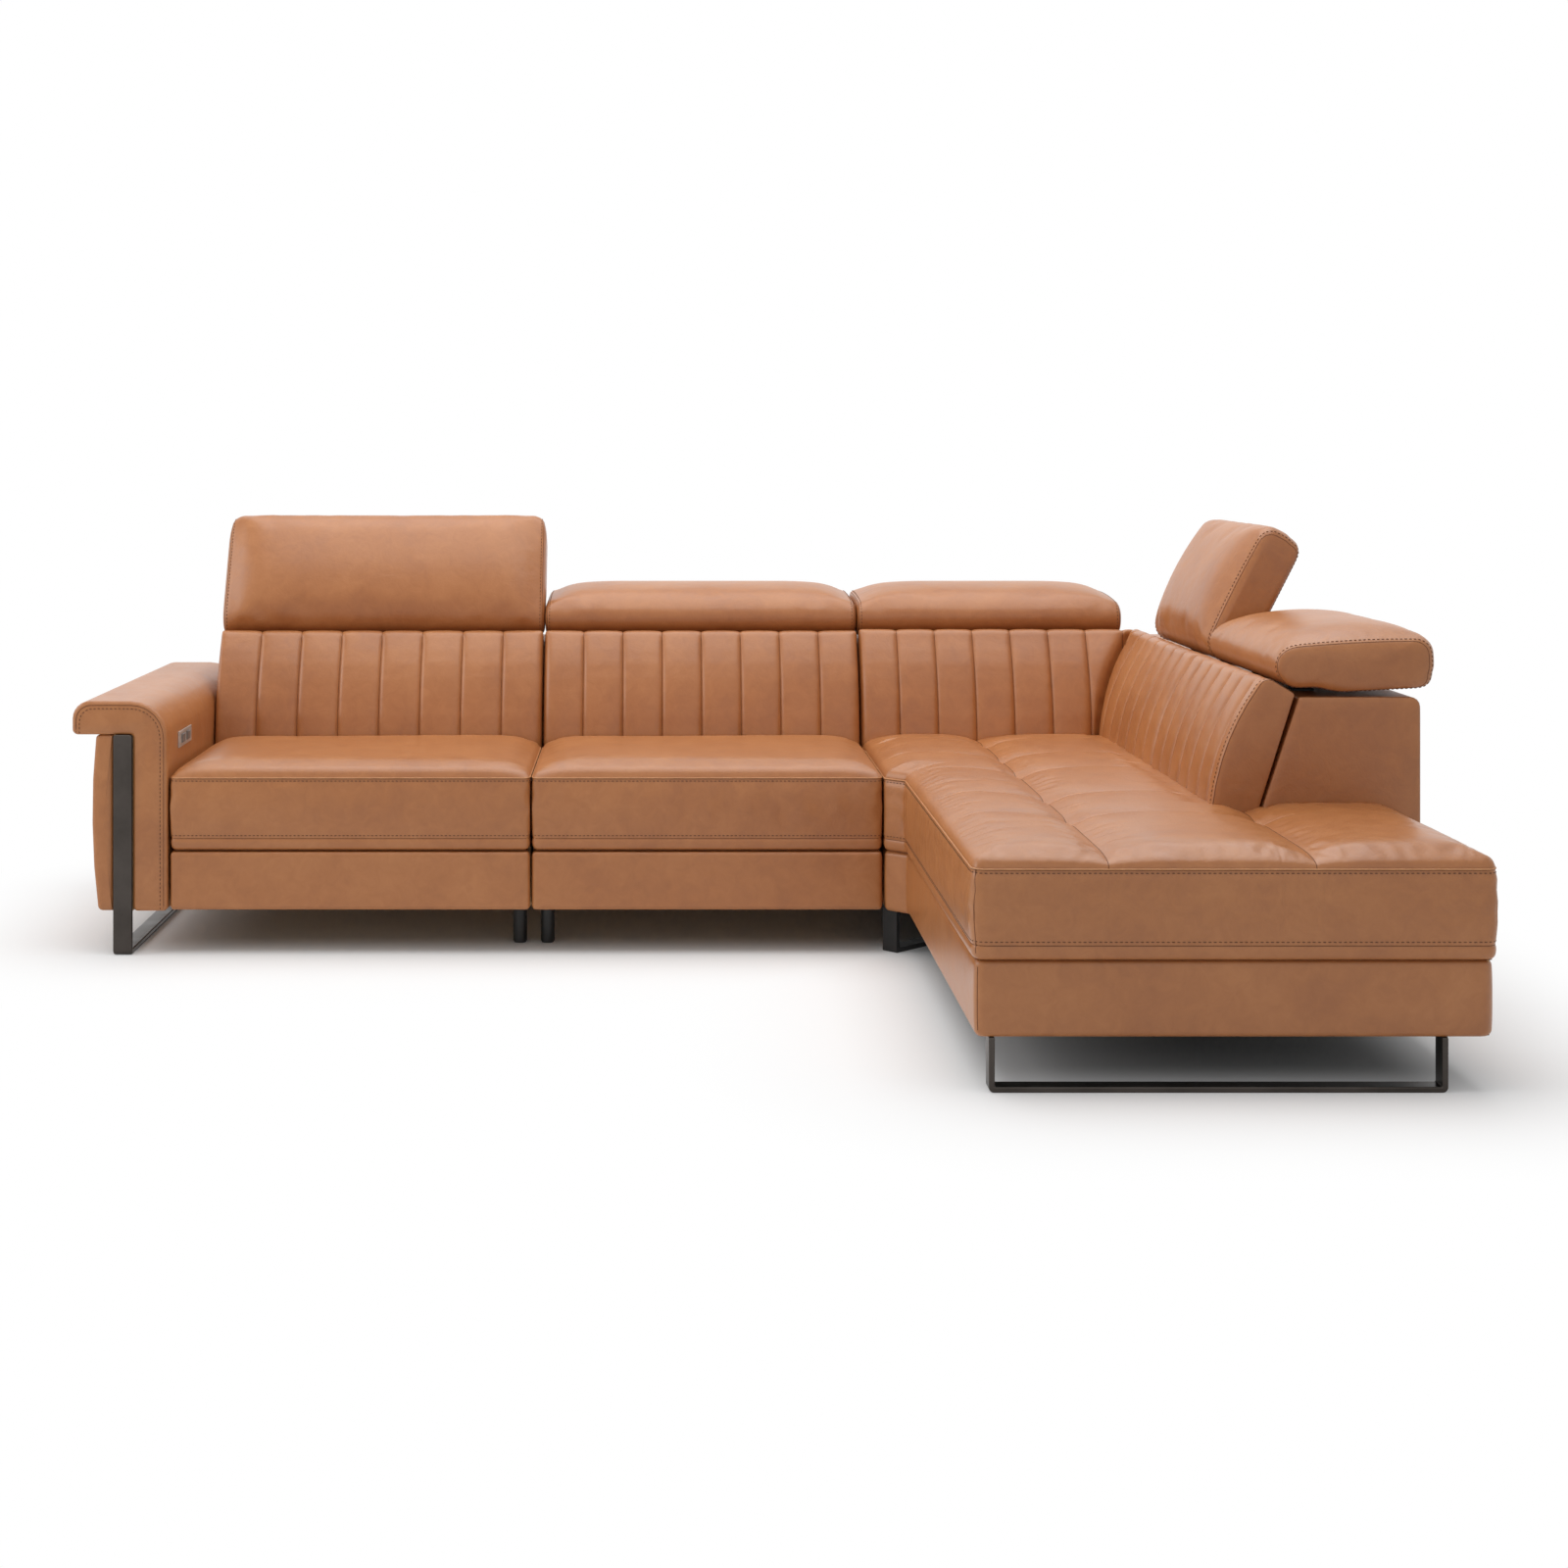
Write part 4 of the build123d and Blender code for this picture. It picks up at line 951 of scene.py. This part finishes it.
def chaisePad():
    look = chaiseLook
    low, high = boxMm("chaise_cushion")
    left = low[0] - 2 + look["step"]
    notchX = xSide - backLook["footDepth"] + look["tuck"]
    notchY = boxMm("side_back_shell")[0][1] + look["tuck"]
    step = left - low[0]
    slantTop, slantFoot = yFront, yFront - step
    firstSeam, secondSeam = look["longSeams"]
    gridStep = look["gridStep"]
    xs = np.unique(np.concatenate([
        spread(left, notchX, [firstSeam], look["ladder"], gridStep),
        spread(notchX, high[0], [secondSeam], look["ladder"], gridStep),
    ]))
    rows = [*look["crossValleys"], slantTop, slantFoot, notchY]
    ys = spread(low[1], yBack - backLook["footDepth"] + look["tuck"], rows, look["fineLadder"], gridStep)
    backY = ys[-1]

    def slant(y):
        return step * np.clip((y - slantFoot) / (slantTop - slantFoot), 0, 1)

    def warp(x, y):
        x, y = cornerRounder((left, low[1]), (high[0], 1e6), look["cornerRound"])(x, y)
        share = np.clip((firstSeam - x) / (firstSeam - left), 0, 1)
        return x - slant(y) * share ** 2, y

    def edgeDistance(x, y):
        right = np.where(y < notchY, high[0] - x, farAway)
        sides = np.minimum(x - (left - slant(y)), right)
        return cornerDistance(sides, y - low[1], look["cornerRound"])

    def seamDistance(x, y):
        return np.minimum(np.abs(x - firstSeam), np.abs(x - secondSeam) + np.where(y > notchY, farAway, 0))

    def top(x, y):
        rise = dome(edgeDistance(x, y), look["sideDome"], look["shoulder"])
        rearDip = 6 * softStep(130, 0, backY - y)
        z = look["seam"] + (look["crown"] - look["seam"]) * rise - rearDip
        toLong = seamDistance(x, y)
        toCross = np.min([np.abs(y - v) for v in look["crossValleys"]], axis=0)
        toTuft = np.hypot(toLong, toCross)
        valley = look["seamDeep"] * np.exp(-toLong / look["seamSoft"])
        fold = 0.12 + 0.88 * np.exp(-(toLong / look["crossReach"]) ** 1.5)
        valley = valley + look["crossDeep"] * fold * np.exp(-toCross / look["crossSoft"])
        valley = valley + look["tuftDeep"] * np.exp(-(toTuft / look["tuftSoft"]) ** 2)
        puff = look["puff"] * softStep(0, 110, toLong) * (1 - fold * softStep(110, 0, toCross))
        return z + (puff - valley) * dome(edgeDistance(x, y), 90)

    def kept(x, y):
        return x < notchX or y < notchY

    def hold(x, y):
        return 0.0 if (y > notchY - 1 and x > notchX - 1) or y > backY - 1 else 1.0

    wall = boxingWall(look["seam"], look["lowSeam"], low[2], look["bulge"])
    points, faces, rings, ringIndex, index, grid = slab(xs, ys, kept, warp, top, wall, hold)
    obj = addMesh("chaisePad", points, faces)
    gridX, gridY, gridZ = grid
    longRows = []
    for seam, limit in ((firstSeam, backY), (secondSeam, notchY)):
        i = int(np.argmin(np.abs(xs - seam)))
        along = [j for j in range(len(ys)) if ys[j] <= limit]
        longRows.append([(gridX[i, j], gridY[i, j], gridZ[i, j]) for j in along])
        creaseEdges(obj, [index[i, j] for j in along], 0.8)
    held = np.ones(len(points))
    for (i, j), spot in index.items():
        x, y = gridX[i, j], gridY[i, j]
        toLong = abs(x - firstSeam)
        if y < notchY:
            toLong = min(toLong, abs(x - secondSeam))
        rear = min(backY - y, farAway if y < notchY else notchX - x)
        edge = min(float(edgeDistance(x, y)), rear)
        loose = softStep(2, 40, toLong) * softStep(2, 60, edge)
        held[spot] = round(1 - float(loose), 1)
    shown = np.array([hold(x, y) > 0 for x, y in rings[0][:, :2]])
    finishSlab(obj, "frame", "chaise_cushion", chaiseCloth, held, rings, ringIndex, shown)
    for line in longRows:
        sew(obj, "frame", line, "channel")
    corner = (left + 3, low[1] + 3)
    sew(obj, "frame", [(*corner, z) for z in (look["seam"] - 2, 340, look["lowSeam"], low[2] + 12)], "seam")


chaisePad()
print("chaise cushion made")


# Recliner fronts: thin padded boards under the seats
frontLook = {"edge": 10, "rearEdge": 3, "endRound": 8, "puff": 2.5, "endDome": 70, "edgeDome": 50, "step": 12}


def acrossWall(along, y, z):
    return along, y, z


def footrestPad(unit):
    look = frontLook
    low, high = boxMm(unit + "_footrest_pad")
    corners = rectangle(low[1], high[1], low[2], high[2])
    radius, rear = min(look["edge"], (high[1] - low[1]) / 2 - 1), look["rearEdge"]
    loop = roundedLoop(corners, [radius, rear, rear, radius], look["step"])
    stations = spread(low[0], high[0], [], (0, 1.5, 4, 8, 16, 30, 60), 40)
    endGap = fromEnds(stations, low[0], high[0])
    faceOut = softStep(0.5, 1.0, -loopNormals(loop)[:, 0])
    faceOut = faceOut * dome(fromEnds(loop[:, 1], low[2], high[2]), look["edgeDome"])
    push = look["puff"] * (dome(endGap, look["endDome"])[:, None] - 1) * faceOut[None]
    push = push - edgeRound(endGap, look["endRound"])[:, None]
    obj = addMesh(unit + "FootrestPad", *sleeve(loop, stations, push, acrossWall)[:2])
    subdivide(obj)
    keepSoft(obj, unit + "_footrest", unit + "_footrest_pad")


for unit in ("left", "middle"):
    footrestPad(unit)
print("recliner fronts made")


# Chaise base: a padded skirt with rolled edges round the frame, open below
baseLook = {"corner": 20, "edge": 13, "puff": 3.0, "thick": 12, "skirt": 5, "step": 26}


def basePad():
    look = baseLook
    low, high = boxMm("corner_base_cover")
    chaiseLow, chaiseHigh = boxMm("chaise_cushion")
    sideEnd = boxMm("side_back_shell")[0][1] + look["skirt"]
    frontLeft = chaiseLow[0] - 2 + chaiseLook["step"] + look["skirt"]
    right = chaiseHigh[0] - look["skirt"]
    corners = [
        (frontLeft, low[1]),
        (right, low[1]),
        (right, sideEnd),
        (high[0], sideEnd),
        (high[0], high[1]),
        (low[0], high[1]),
        (low[0], yFront + look["skirt"]),
        (frontLeft, yFront + look["skirt"] - chaiseLook["step"]),
    ]
    corner = look["corner"]
    loop = roundedLoop(corners, [corner, corner + 6, 10, 12, corner, 12, 12, 12], look["step"])
    normals = loopNormals(loop)
    edge = look["edge"] - 2
    section = roundedLoop(rectangle(-look["thick"], 0, low[2], high[2]), [1, edge, edge, 1], 22)
    rise = fromEnds(section[:, 1], low[2], high[2])
    face = softStep(-look["thick"] + 2, -1, section[:, 0])
    out = section[:, 0] + face * look["puff"] * (dome(rise, 55) - 1)
    count = len(section)
    points = [
        (x + nx * o, y + ny * o, z)
        for (x, y), (nx, ny) in zip(loop, normals)
        for o, z in zip(out, section[:, 1])
    ]
    faces = []
    for i in range(len(loop)):
        k = (i + 1) % len(loop)
        for j in range(count):
            n = (j + 1) % count
            faces.append((i * count + j, k * count + j, k * count + n, i * count + n))
    obj = addMesh("chaiseBasePad", points, faces)
    subdivide(obj)
    keepSoft(obj, "frame", "corner_base_cover")
    sew(obj, "frame", [(frontLeft + 5, low[1] + 5, z) for z in (high[2] - 12, 170, low[2] + 12)], "seam")


basePad()
print("chaise base made")


# Rear rails of the recliners: hide drawn over the board below each back
railLook = {"thick": 4, "edge": 1.8}


def railCover(unit):
    look = railLook
    low, high = boxMm(unit + "_base_frame")
    corners = rectangle(high[1], high[1] + look["thick"], low[2], high[2])
    loop = roundedLoop(corners, [0.5, look["edge"], look["edge"], 0.5], 20)
    stations = spread(low[0], high[0], [], (0, 1, 3, 8), 60)
    push = endPush(stations, low[0], high[0], look["edge"], loop)
    obj = addMesh(unit + "RailHide", *sleeve(loop, stations, push, acrossWall, capSteps=2)[:2])
    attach(obj, "frame")


for unit in ("left", "middle"):
    railCover(unit)
print("rear rails covered")


# Back shells: hard boxes wrapped in hide
shellLook = {
    "rearTop": 20,
    "frontTop": 7,
    "foot": 5,
    "endRound": 7,
    "topDepth": 250,
    "slope": 0.335,
    "pastCut": 100,  # the end at the mitre runs on this far before it is cut
}


def shellCover(name, node, place, start, end, mitre=None):
    look = shellLook
    low, high = boxMm(node)
    top, foot = high[2], low[2]
    frontFoot = look["topDepth"] + (top - foot) * look["slope"]
    corners = [(0.5, foot), (frontFoot, foot), (look["topDepth"], top), (0.5, top)]
    loop = roundedLoop(corners, [look["foot"], look["foot"], look["frontTop"], look["rearTop"]], 40)
    stations = spread(start, end, [], (0, 1, 3, 7, 14, 30), 60)
    push = endPush(stations, start, end, look["endRound"], loop)
    if mitre is not None:
        openEnd = (stations - start if mitre["sign"] > 0 else end - stations)[:, None]
        endGap = np.minimum(openEnd, fromCut(mitre, loop, stations) + look["pastCut"])
        push = -edgeRound(endGap, look["endRound"])
    points, faces, rows, _ = sleeve(loop, stations, push, place)
    obj = addMesh(name, points, faces)
    subdivide(obj)
    if mitre is not None:
        cutMitre(obj, mitre)
    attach(obj, "frame")
    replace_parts(obj, node)
    for row in (2, -3):
        line = closedRun(rows[row])
        if mitre is None or all(mitre["keeps"](p) for p in line):
            sew(obj, "frame", line, "seam")


for unit in ("left", "middle"):
    low, high = boxMm(unit + "_back_shell")
    shellCover(unit + "ShellCover", unit + "_back_shell", alongWall(low[0]), 0, high[0] - low[0])
shellCover("cornerShellCover", "corner_back_shell", alongWall(xCorner - 2), 3, cornerRun, cornerMitre)
sideRun = yBack - boxMm("side_back_shell")[0][1]
shellCover("sideShellCover", "side_back_shell", alongSide, 0, sideRun, sideMitre)
print("back shells covered")


# Arm: a hooked pad that rolls over the metal band, with a bowed pad outside it
armLook = {
    "topRound": 86,
    "tipTop": 40,
    "tipFoot": 13,
    "hookRound": 7,
    "footRound": 11,
    "endRound": 8,
    "step": 12,
    "fit": 0.5,  # air between the inner pad, the band and the outer pad
    "frontSeams": ((9, "seam"), (17, "stitch")),  # the front panel is sewn in this far from its edge
    "outerBow": ((0.0, 9), (0.25, 1.5), (0.5, 0), (0.75, 4), (1.0, 14)),  # share down the panel, inset
    "outerRounds": (2, 10, 0, 0, 0, 12, 2),
}


def alongArm(along, x, z):
    return x, along + 0 * x, z


def flatSleeve(loop, stations, push, place):
    # as sleeve, with each end cut as one flat face, for outlines that bend back on themselves
    flat = loop[None] + loopNormals(loop)[None] * push[..., None]
    count, last = len(loop), (len(stations) - 1) * len(loop)
    points, faces = [], []
    for i, along in enumerate(stations):
        x, y, z = place(np.full(count, along), flat[i][:, 0], flat[i][:, 1])
        points += list(zip(x, y, z))
    for i in range(0, last, count):
        for j in range(count):
            k = (j + 1) % count
            faces.append((i + j, i + k, i + count + k, i + count + j))
    faces.append(tuple(range(count))[::-1])
    faces.append(tuple(last + j for j in range(count)))
    return points, faces


def armPads():
    look = armLook
    low, high = boxMm("arm_inner_pad")
    inner = boxMm("arm_metal_frame")[1][0] + look["fit"]
    overFoot = boxMm("arm_outer_panel")[1][2]
    corners = [
        (low[0], high[2]),
        (low[0], overFoot + look["fit"]),
        (inner, overFoot + look["fit"]),
        (inner, low[2]),
        (high[0], low[2]),
        (high[0], high[2]),
    ]
    radii = [look[key] for key in ("tipTop", "tipFoot", "hookRound", "footRound", "footRound", "topRound")]
    loop = roundedLoop(corners, radii, look["step"])
    stations = spread(low[1], high[1], [], (0, 1, 3, 6, 10, 18, 32), 45)
    push = endPush(stations, low[1], high[1], look["endRound"], loop)
    obj = addMesh("armInnerPad", *flatSleeve(loop, stations, push, alongArm))
    keepSoft(obj, "frame", "arm_inner_pad")
    for inset, kind in look["frontSeams"]:
        path = roundedLoop(
            [
                (low[0] + inset, overFoot + 6),
                (low[0] + inset, high[2] - inset),
                (high[0] - inset, high[2] - inset),
                (high[0] - inset, low[2] + 6),
            ],
            [0, look["tipTop"] - inset / 2, look["topRound"] - inset, 0],
            look["step"],
        )
        last = int(np.argmin(path[:, 1]))
        for y in (low[1], high[1]):
            sew(obj, "frame", [(x, y, z) for x, z in path[:last + 1]], kind)

    low, high = boxMm("arm_outer_panel")
    outside = [(low[0] + inset, high[2] - (high[2] - low[2]) * share) for share, inset in look["outerBow"]]
    corners = [(high[0], high[2]), *outside, (high[0], low[2])]
    loop = roundedLoop(corners, look["outerRounds"], look["step"])
    stations = spread(low[1], high[1], [], (0, 1, 3, 7, 14, 30), 45)
    push = endPush(stations, low[1], high[1], look["endRound"], loop)
    obj = addMesh("armOuterPad", *sleeve(loop, stations, push, alongArm, capCrown=2)[:2])
    subdivide(obj)
    keepSoft(obj, "frame", "arm_outer_panel")


armPads()
print("arm made")


# Sewing by Geometry Nodes: dashes of thread, thin dark lines of painted shade in the seams and pale lines of
# painted highlight on the folded edges, along each run
def newTree(name, sizes):
    tree = bpy.data.node_groups.new(name, "GeometryNodeTree")
    tree.interface.new_socket("Geometry", in_out="INPUT", socket_type="NodeSocketGeometry")
    for label in sizes:
        tree.interface.new_socket(label, in_out="INPUT", socket_type="NodeSocketFloat")
    tree.interface.new_socket("Material", in_out="INPUT", socket_type="NodeSocketMaterial")
    tree.interface.new_socket("Geometry", in_out="OUTPUT", socket_type="NodeSocketGeometry")
    return tree, addNode(tree, "NodeGroupInput").outputs


def closeTree(tree, geometry, material):
    painted = addNode(tree, "GeometryNodeSetMaterial", links={"Geometry": geometry, "Material": material})
    addNode(tree, "NodeGroupOutput", links={0: painted.outputs["Geometry"]})


def makeStitchTree():
    tree, given = newTree("threadDashes", ("pitch", "dash", "threadRadius"))
    run = addNode(tree, "GeometryNodeMeshToCurve", links={"Mesh": given["Geometry"]})
    even = {"Curve": run.outputs[0], "Length": given["pitch"]}
    steps = addNode(tree, "GeometryNodeResampleCurve", {"mode": "LENGTH"}, even)
    bead = addNode(
        tree, "GeometryNodeMeshUVSphere", {"Segments": 6, "Rings": 4}, {"Radius": given["threadRadius"]}
    )
    longer = addNode(
        tree, "ShaderNodeMath", {"operation": "DIVIDE"}, {0: given["dash"], 1: given["threadRadius"]}
    )
    half = addNode(tree, "ShaderNodeMath", {"operation": "MULTIPLY", 1: 0.5}, {0: longer.outputs[0]})
    stretch = addNode(tree, "ShaderNodeCombineXYZ", {"X": 1.0, "Y": 1.0}, {"Z": half.outputs[0]})
    dash = addNode(
        tree,
        "GeometryNodeTransform",
        links={"Geometry": bead.outputs["Mesh"], "Scale": stretch.outputs[0]},
    )
    heading = addNode(tree, "GeometryNodeInputTangent")
    turn = addNode(
        tree, "FunctionNodeAlignRotationToVector", {"axis": "Z"}, {"Vector": heading.outputs[0]}
    )
    placed = addNode(
        tree,
        "GeometryNodeInstanceOnPoints",
        links={"Points": steps.outputs[0], "Instance": dash.outputs[0], "Rotation": turn.outputs[0]},
    )
    real = addNode(tree, "GeometryNodeRealizeInstances", links={"Geometry": placed.outputs[0]})
    closeTree(tree, real.outputs[0], given["Material"])
    return tree


def makeSeamTree():
    tree, given = newTree("seamLines", ("lineRadius",))
    run = addNode(tree, "GeometryNodeMeshToCurve", links={"Mesh": given["Geometry"]})
    radius = {"Radius": given["lineRadius"]}
    ring = addNode(tree, "GeometryNodeCurvePrimitiveCircle", {"Resolution": 6}, radius)
    tube = addNode(
        tree,
        "GeometryNodeCurveToMesh",
        {"Fill Caps": True},
        {"Curve": run.outputs[0], "Profile Curve": ring.outputs[0]},
    )
    real = addNode(tree, "GeometryNodeRealizeInstances", links={"Geometry": tube.outputs[0]})
    closeTree(tree, real.outputs[0], given["Material"])
    return tree


sewingLook = {  # metres, drawn larger than life, with the lift off the hide in millimetres
    "stitch": {"pitch": 0.0095, "dash": 0.0064, "threadRadius": 0.0011, "lift": 0.3, "finish": "thread"},
    # seam and channel lines are painted shade in the seam grooves
    "seam": {"lineRadius": 0.0010, "lift": -0.35, "finish": "seamGrooveShade"},
    "channel": {"lineRadius": 0.0011, "lift": -0.1, "finish": "seamGrooveShade"},
    # the fold line is a painted highlight on the folded top edge
    "fold": {"lineRadius": 0.0016, "lift": -0.2, "finish": "foldEdgeHighlight"},
}
stitchTree, seamTree = makeStitchTree(), makeSeamTree()


def resample(points, step):
    # even steps along a run, so that it follows the surface closely
    gaps = np.linalg.norm(np.diff(points, axis=0), axis=1)
    where = np.concatenate([[0], np.cumsum(gaps)])
    count = max(2, int(where[-1] / step) + 1)
    at = np.linspace(0, where[-1], count)
    return np.column_stack([np.interp(at, where, points[:, k]) for k in range(3)])


def layRun(tree, points, lift):
    laid = []
    for point in resample(points, 8):  # a point every 8 mm
        spot, normal, _, _ = tree.find_nearest(Vector(point) * mm)
        laid.append(np.array(spot) / mm + np.array(normal) * lift)
    return np.array(laid)


def runSewing():
    surfaces = {}
    for piece in {id(s["cover"]): s["cover"] for s in sewing}.values():
        shell = bmesh.new()
        shell.from_mesh(piece.data)
        surfaces[piece.name] = BVHTree.FromBMesh(shell)
        shell.free()
    groups = {}
    for line in sewing:
        groups.setdefault((line["body"], line["kind"]), []).append(line)
    for (body, kind), lines in sorted(groups.items()):
        look = sewingLook[kind]
        points, links = [], []
        for line in lines:
            laid = layRun(surfaces[line["cover"].name], line["points"], look["lift"])
            start = len(points)
            points += list(laid)
            links += [(start + k, start + k + 1) for k in range(len(laid) - 1)]
            if np.linalg.norm(laid[0] - laid[-1]) < 1.0:  # the run ends where it began
                links[-1] = (start + len(laid) - 2, start)
        mesh = bpy.data.meshes.new("run")
        mesh.from_pydata([tuple(p * mm) for p in points], links, [])
        obj = linkNew(body + "_" + kind + "Lines", mesh)
        tree = stitchTree if kind == "stitch" else seamTree
        modifier = obj.modifiers.new("sewing", "NODES")
        modifier.node_group = tree
        given = {**look, "Material": finishes[look["finish"]]}
        for socket in tree.interface.items_tree:
            if socket.in_out == "INPUT" and socket.name in given:
                modifier[socket.identifier] = given[socket.name]
        bakeModifiers(obj)
        obj.data.shade_smooth()
        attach(obj, body)
    return len(groups)


print("sewing laid in", runSewing(), "groups")


# Carried-over metal, boards and plastic keep their CAD shapes, with softened edges
edgeLook = {"arm_metal_frame": 5.0, "chaise_sled_leg": 2.0, "corner_sled_leg": 2.0, "switch_plate": 0.8}


def dressNodes():
    replaced = {n for o in scene.objects if "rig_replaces" in o for n in o["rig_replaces"]}
    for part in frame["record"]["subparts"]:
        obj = nodes[part["node"]]
        if part["node"] in replaced:
            continue
        obj.data.materials.clear()
        obj.data.materials.append(finishes[part["material_slot"]])
        if part["node"] in edgeLook:
            weld = obj.modifiers.new("weld", "WELD")
            weld.merge_threshold = 1e-5
            soft = obj.modifiers.new("edges", "BEVEL")
            soft.width = edgeLook[part["node"]] * mm
            soft.segments = 2
            soft.limit_method = "ANGLE"
            soft.angle_limit = math.radians(40)
            soft.harden_normals = False


dressNodes()
print("rigid nodes dressed")


# Studio: pale floor, soft overhead light, camera at eye height in front of the middle seat
stageLook = {
    "floorHalf": 14.0,
    "fadeIn": 0.2,  # the paper starts to fade to plain white this far inside the sofa's outline
    "fadeRun": 0.75,
    "paper": "#F4F4F4",
    "worldStrength": 0.36,
    "lamps": {  # place, aim, size, power
        "overheadSoftbox": ((0.1, 0.25, 4.0), (0.1, 0.0, 0), 4.6, 144),
        "frontSoftbox": ((1.2, -5.4, 2.2), (0.6, 0.0, 0.5), 3.5, 12),
        "sideSoftbox": ((-5.2, -0.6, 2.8), (0.8, -0.1, 0.4), 3.0, 84),
    },
}
cameraLook = {"place": (-0.135, -5.451, 1.184), "lens": 54.5, "sensor": 36.0, "shift": (0.0844, -0.2156)}


def seenStraight(tree):
    # white backdrop for the camera, mirrors and glass, without lighting the sofa
    rays = addNode(tree, "ShaderNodeLightPath").outputs
    first = addNode(
        tree, "ShaderNodeMath", {"operation": "MAXIMUM"}, {0: rays["Is Camera Ray"], 1: rays["Is Glossy Ray"]}
    )
    return addNode(
        tree,
        "ShaderNodeMath",
        {"operation": "MAXIMUM"},
        {0: first.outputs[0], 1: rays["Is Transmission Ray"]},
    ).outputs[0]


def fromRectangle(tree, place, low, high, inset):
    # distance on the floor from an upright box
    middle = [(a + b) / 2 for a, b in zip(low, high)]
    half = [(b - a) / 2 - inset for a, b in zip(low, high)]
    reach = place
    for settings in (
        {"operation": "SUBTRACT", 1: (*middle, 0)},
        {"operation": "ABSOLUTE"},
        {"operation": "SUBTRACT", 1: (*half, 0)},
        {"operation": "MAXIMUM", 1: (0, 0, 0)},
    ):
        reach = addNode(tree, "ShaderNodeVectorMath", settings, {0: reach}).outputs[0]
    return addNode(tree, "ShaderNodeVectorMath", {"operation": "LENGTH"}, {0: reach}).outputs["Value"]


def makeFloor():
    look = stageLook
    half = look["floorHalf"]
    mesh = bpy.data.meshes.new("studioFloor")
    corners = rectangle(-half, half, -half, half)
    mesh.from_pydata([(x, y, 0) for x, y in corners], [], [(0, 1, 2, 3)])
    floor = linkNew("studioFloor", mesh)
    made, tree = newMaterial("studio_paper_white")
    place = addNode(tree, "ShaderNodeTexCoord").outputs["Object"]
    armLow, (baseLow, baseHigh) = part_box("arm_outer_panel")[0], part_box("corner_base_cover")
    wall = fromRectangle(tree, place, (armLow[0], yFront * mm), baseHigh[:2], look["fadeIn"])
    side = fromRectangle(tree, place, baseLow[:2], baseHigh[:2], look["fadeIn"])
    nearest = addNode(tree, "ShaderNodeMath", {"operation": "MINIMUM"}, {0: wall, 1: side})
    fade = addNode(
        tree,
        "ShaderNodeMapRange",
        {"interpolation_type": "SMOOTHSTEP", "From Min": 0.0, "From Max": look["fadeRun"]},
        {"Value": nearest.outputs[0]},
    )
    straight = addNode(
        tree, "ShaderNodeMath", {"operation": "MULTIPLY"}, {0: fade.outputs["Result"], 1: seenStraight(tree)}
    )
    paper = addNode(tree, "ShaderNodeBsdfDiffuse", {"Color": hexColour(look["paper"])})
    glow = addNode(tree, "ShaderNodeEmission", {"Color": (1, 1, 1, 1), "Strength": 1.0})
    mixed = addNode(
        tree, "ShaderNodeMixShader", links={0: straight.outputs[0], 1: paper.outputs[0], 2: glow.outputs[0]}
    )
    addNode(tree, "ShaderNodeOutputMaterial", links={"Surface": mixed.outputs[0]})
    mesh.materials.append(made)


def makeWorld():
    world = bpy.data.worlds.new("studioWorld")
    scene.world = world
    world.use_nodes = True
    tree = world.node_tree
    tree.nodes.clear()
    soft, white = (
        addNode(tree, "ShaderNodeBackground", {"Color": (1, 1, 1, 1), "Strength": strength}).outputs[0]
        for strength in (stageLook["worldStrength"], 1.0)
    )
    mixed = addNode(tree, "ShaderNodeMixShader", links={0: seenStraight(tree), 1: soft, 2: white})
    addNode(tree, "ShaderNodeOutputWorld", links={"Surface": mixed.outputs[0]})


def addLamp(name, place, aim, size, power):
    lamp = bpy.data.lights.new(name, "AREA")
    lamp.shape = "SQUARE"
    lamp.size = size
    lamp.energy = power
    obj = linkNew(name, lamp)
    obj.location = place
    obj.rotation_euler = (Vector(aim) - Vector(place)).to_track_quat("-Z", "Y").to_euler()


def makeCamera():
    look = cameraLook
    lens = bpy.data.cameras.new("studioCamera")
    lens.lens = look["lens"]
    lens.sensor_width = look["sensor"]
    lens.shift_x, lens.shift_y = look["shift"]
    camera = linkNew("studioCamera", lens)
    camera.location = look["place"]
    camera.rotation_euler = (math.radians(90), 0, 0)
    scene.camera = camera


makeFloor()
makeWorld()
for name, lamp in stageLook["lamps"].items():
    addLamp(name, *lamp)
makeCamera()
scene.view_settings.view_transform = "Standard"
print("studio set")
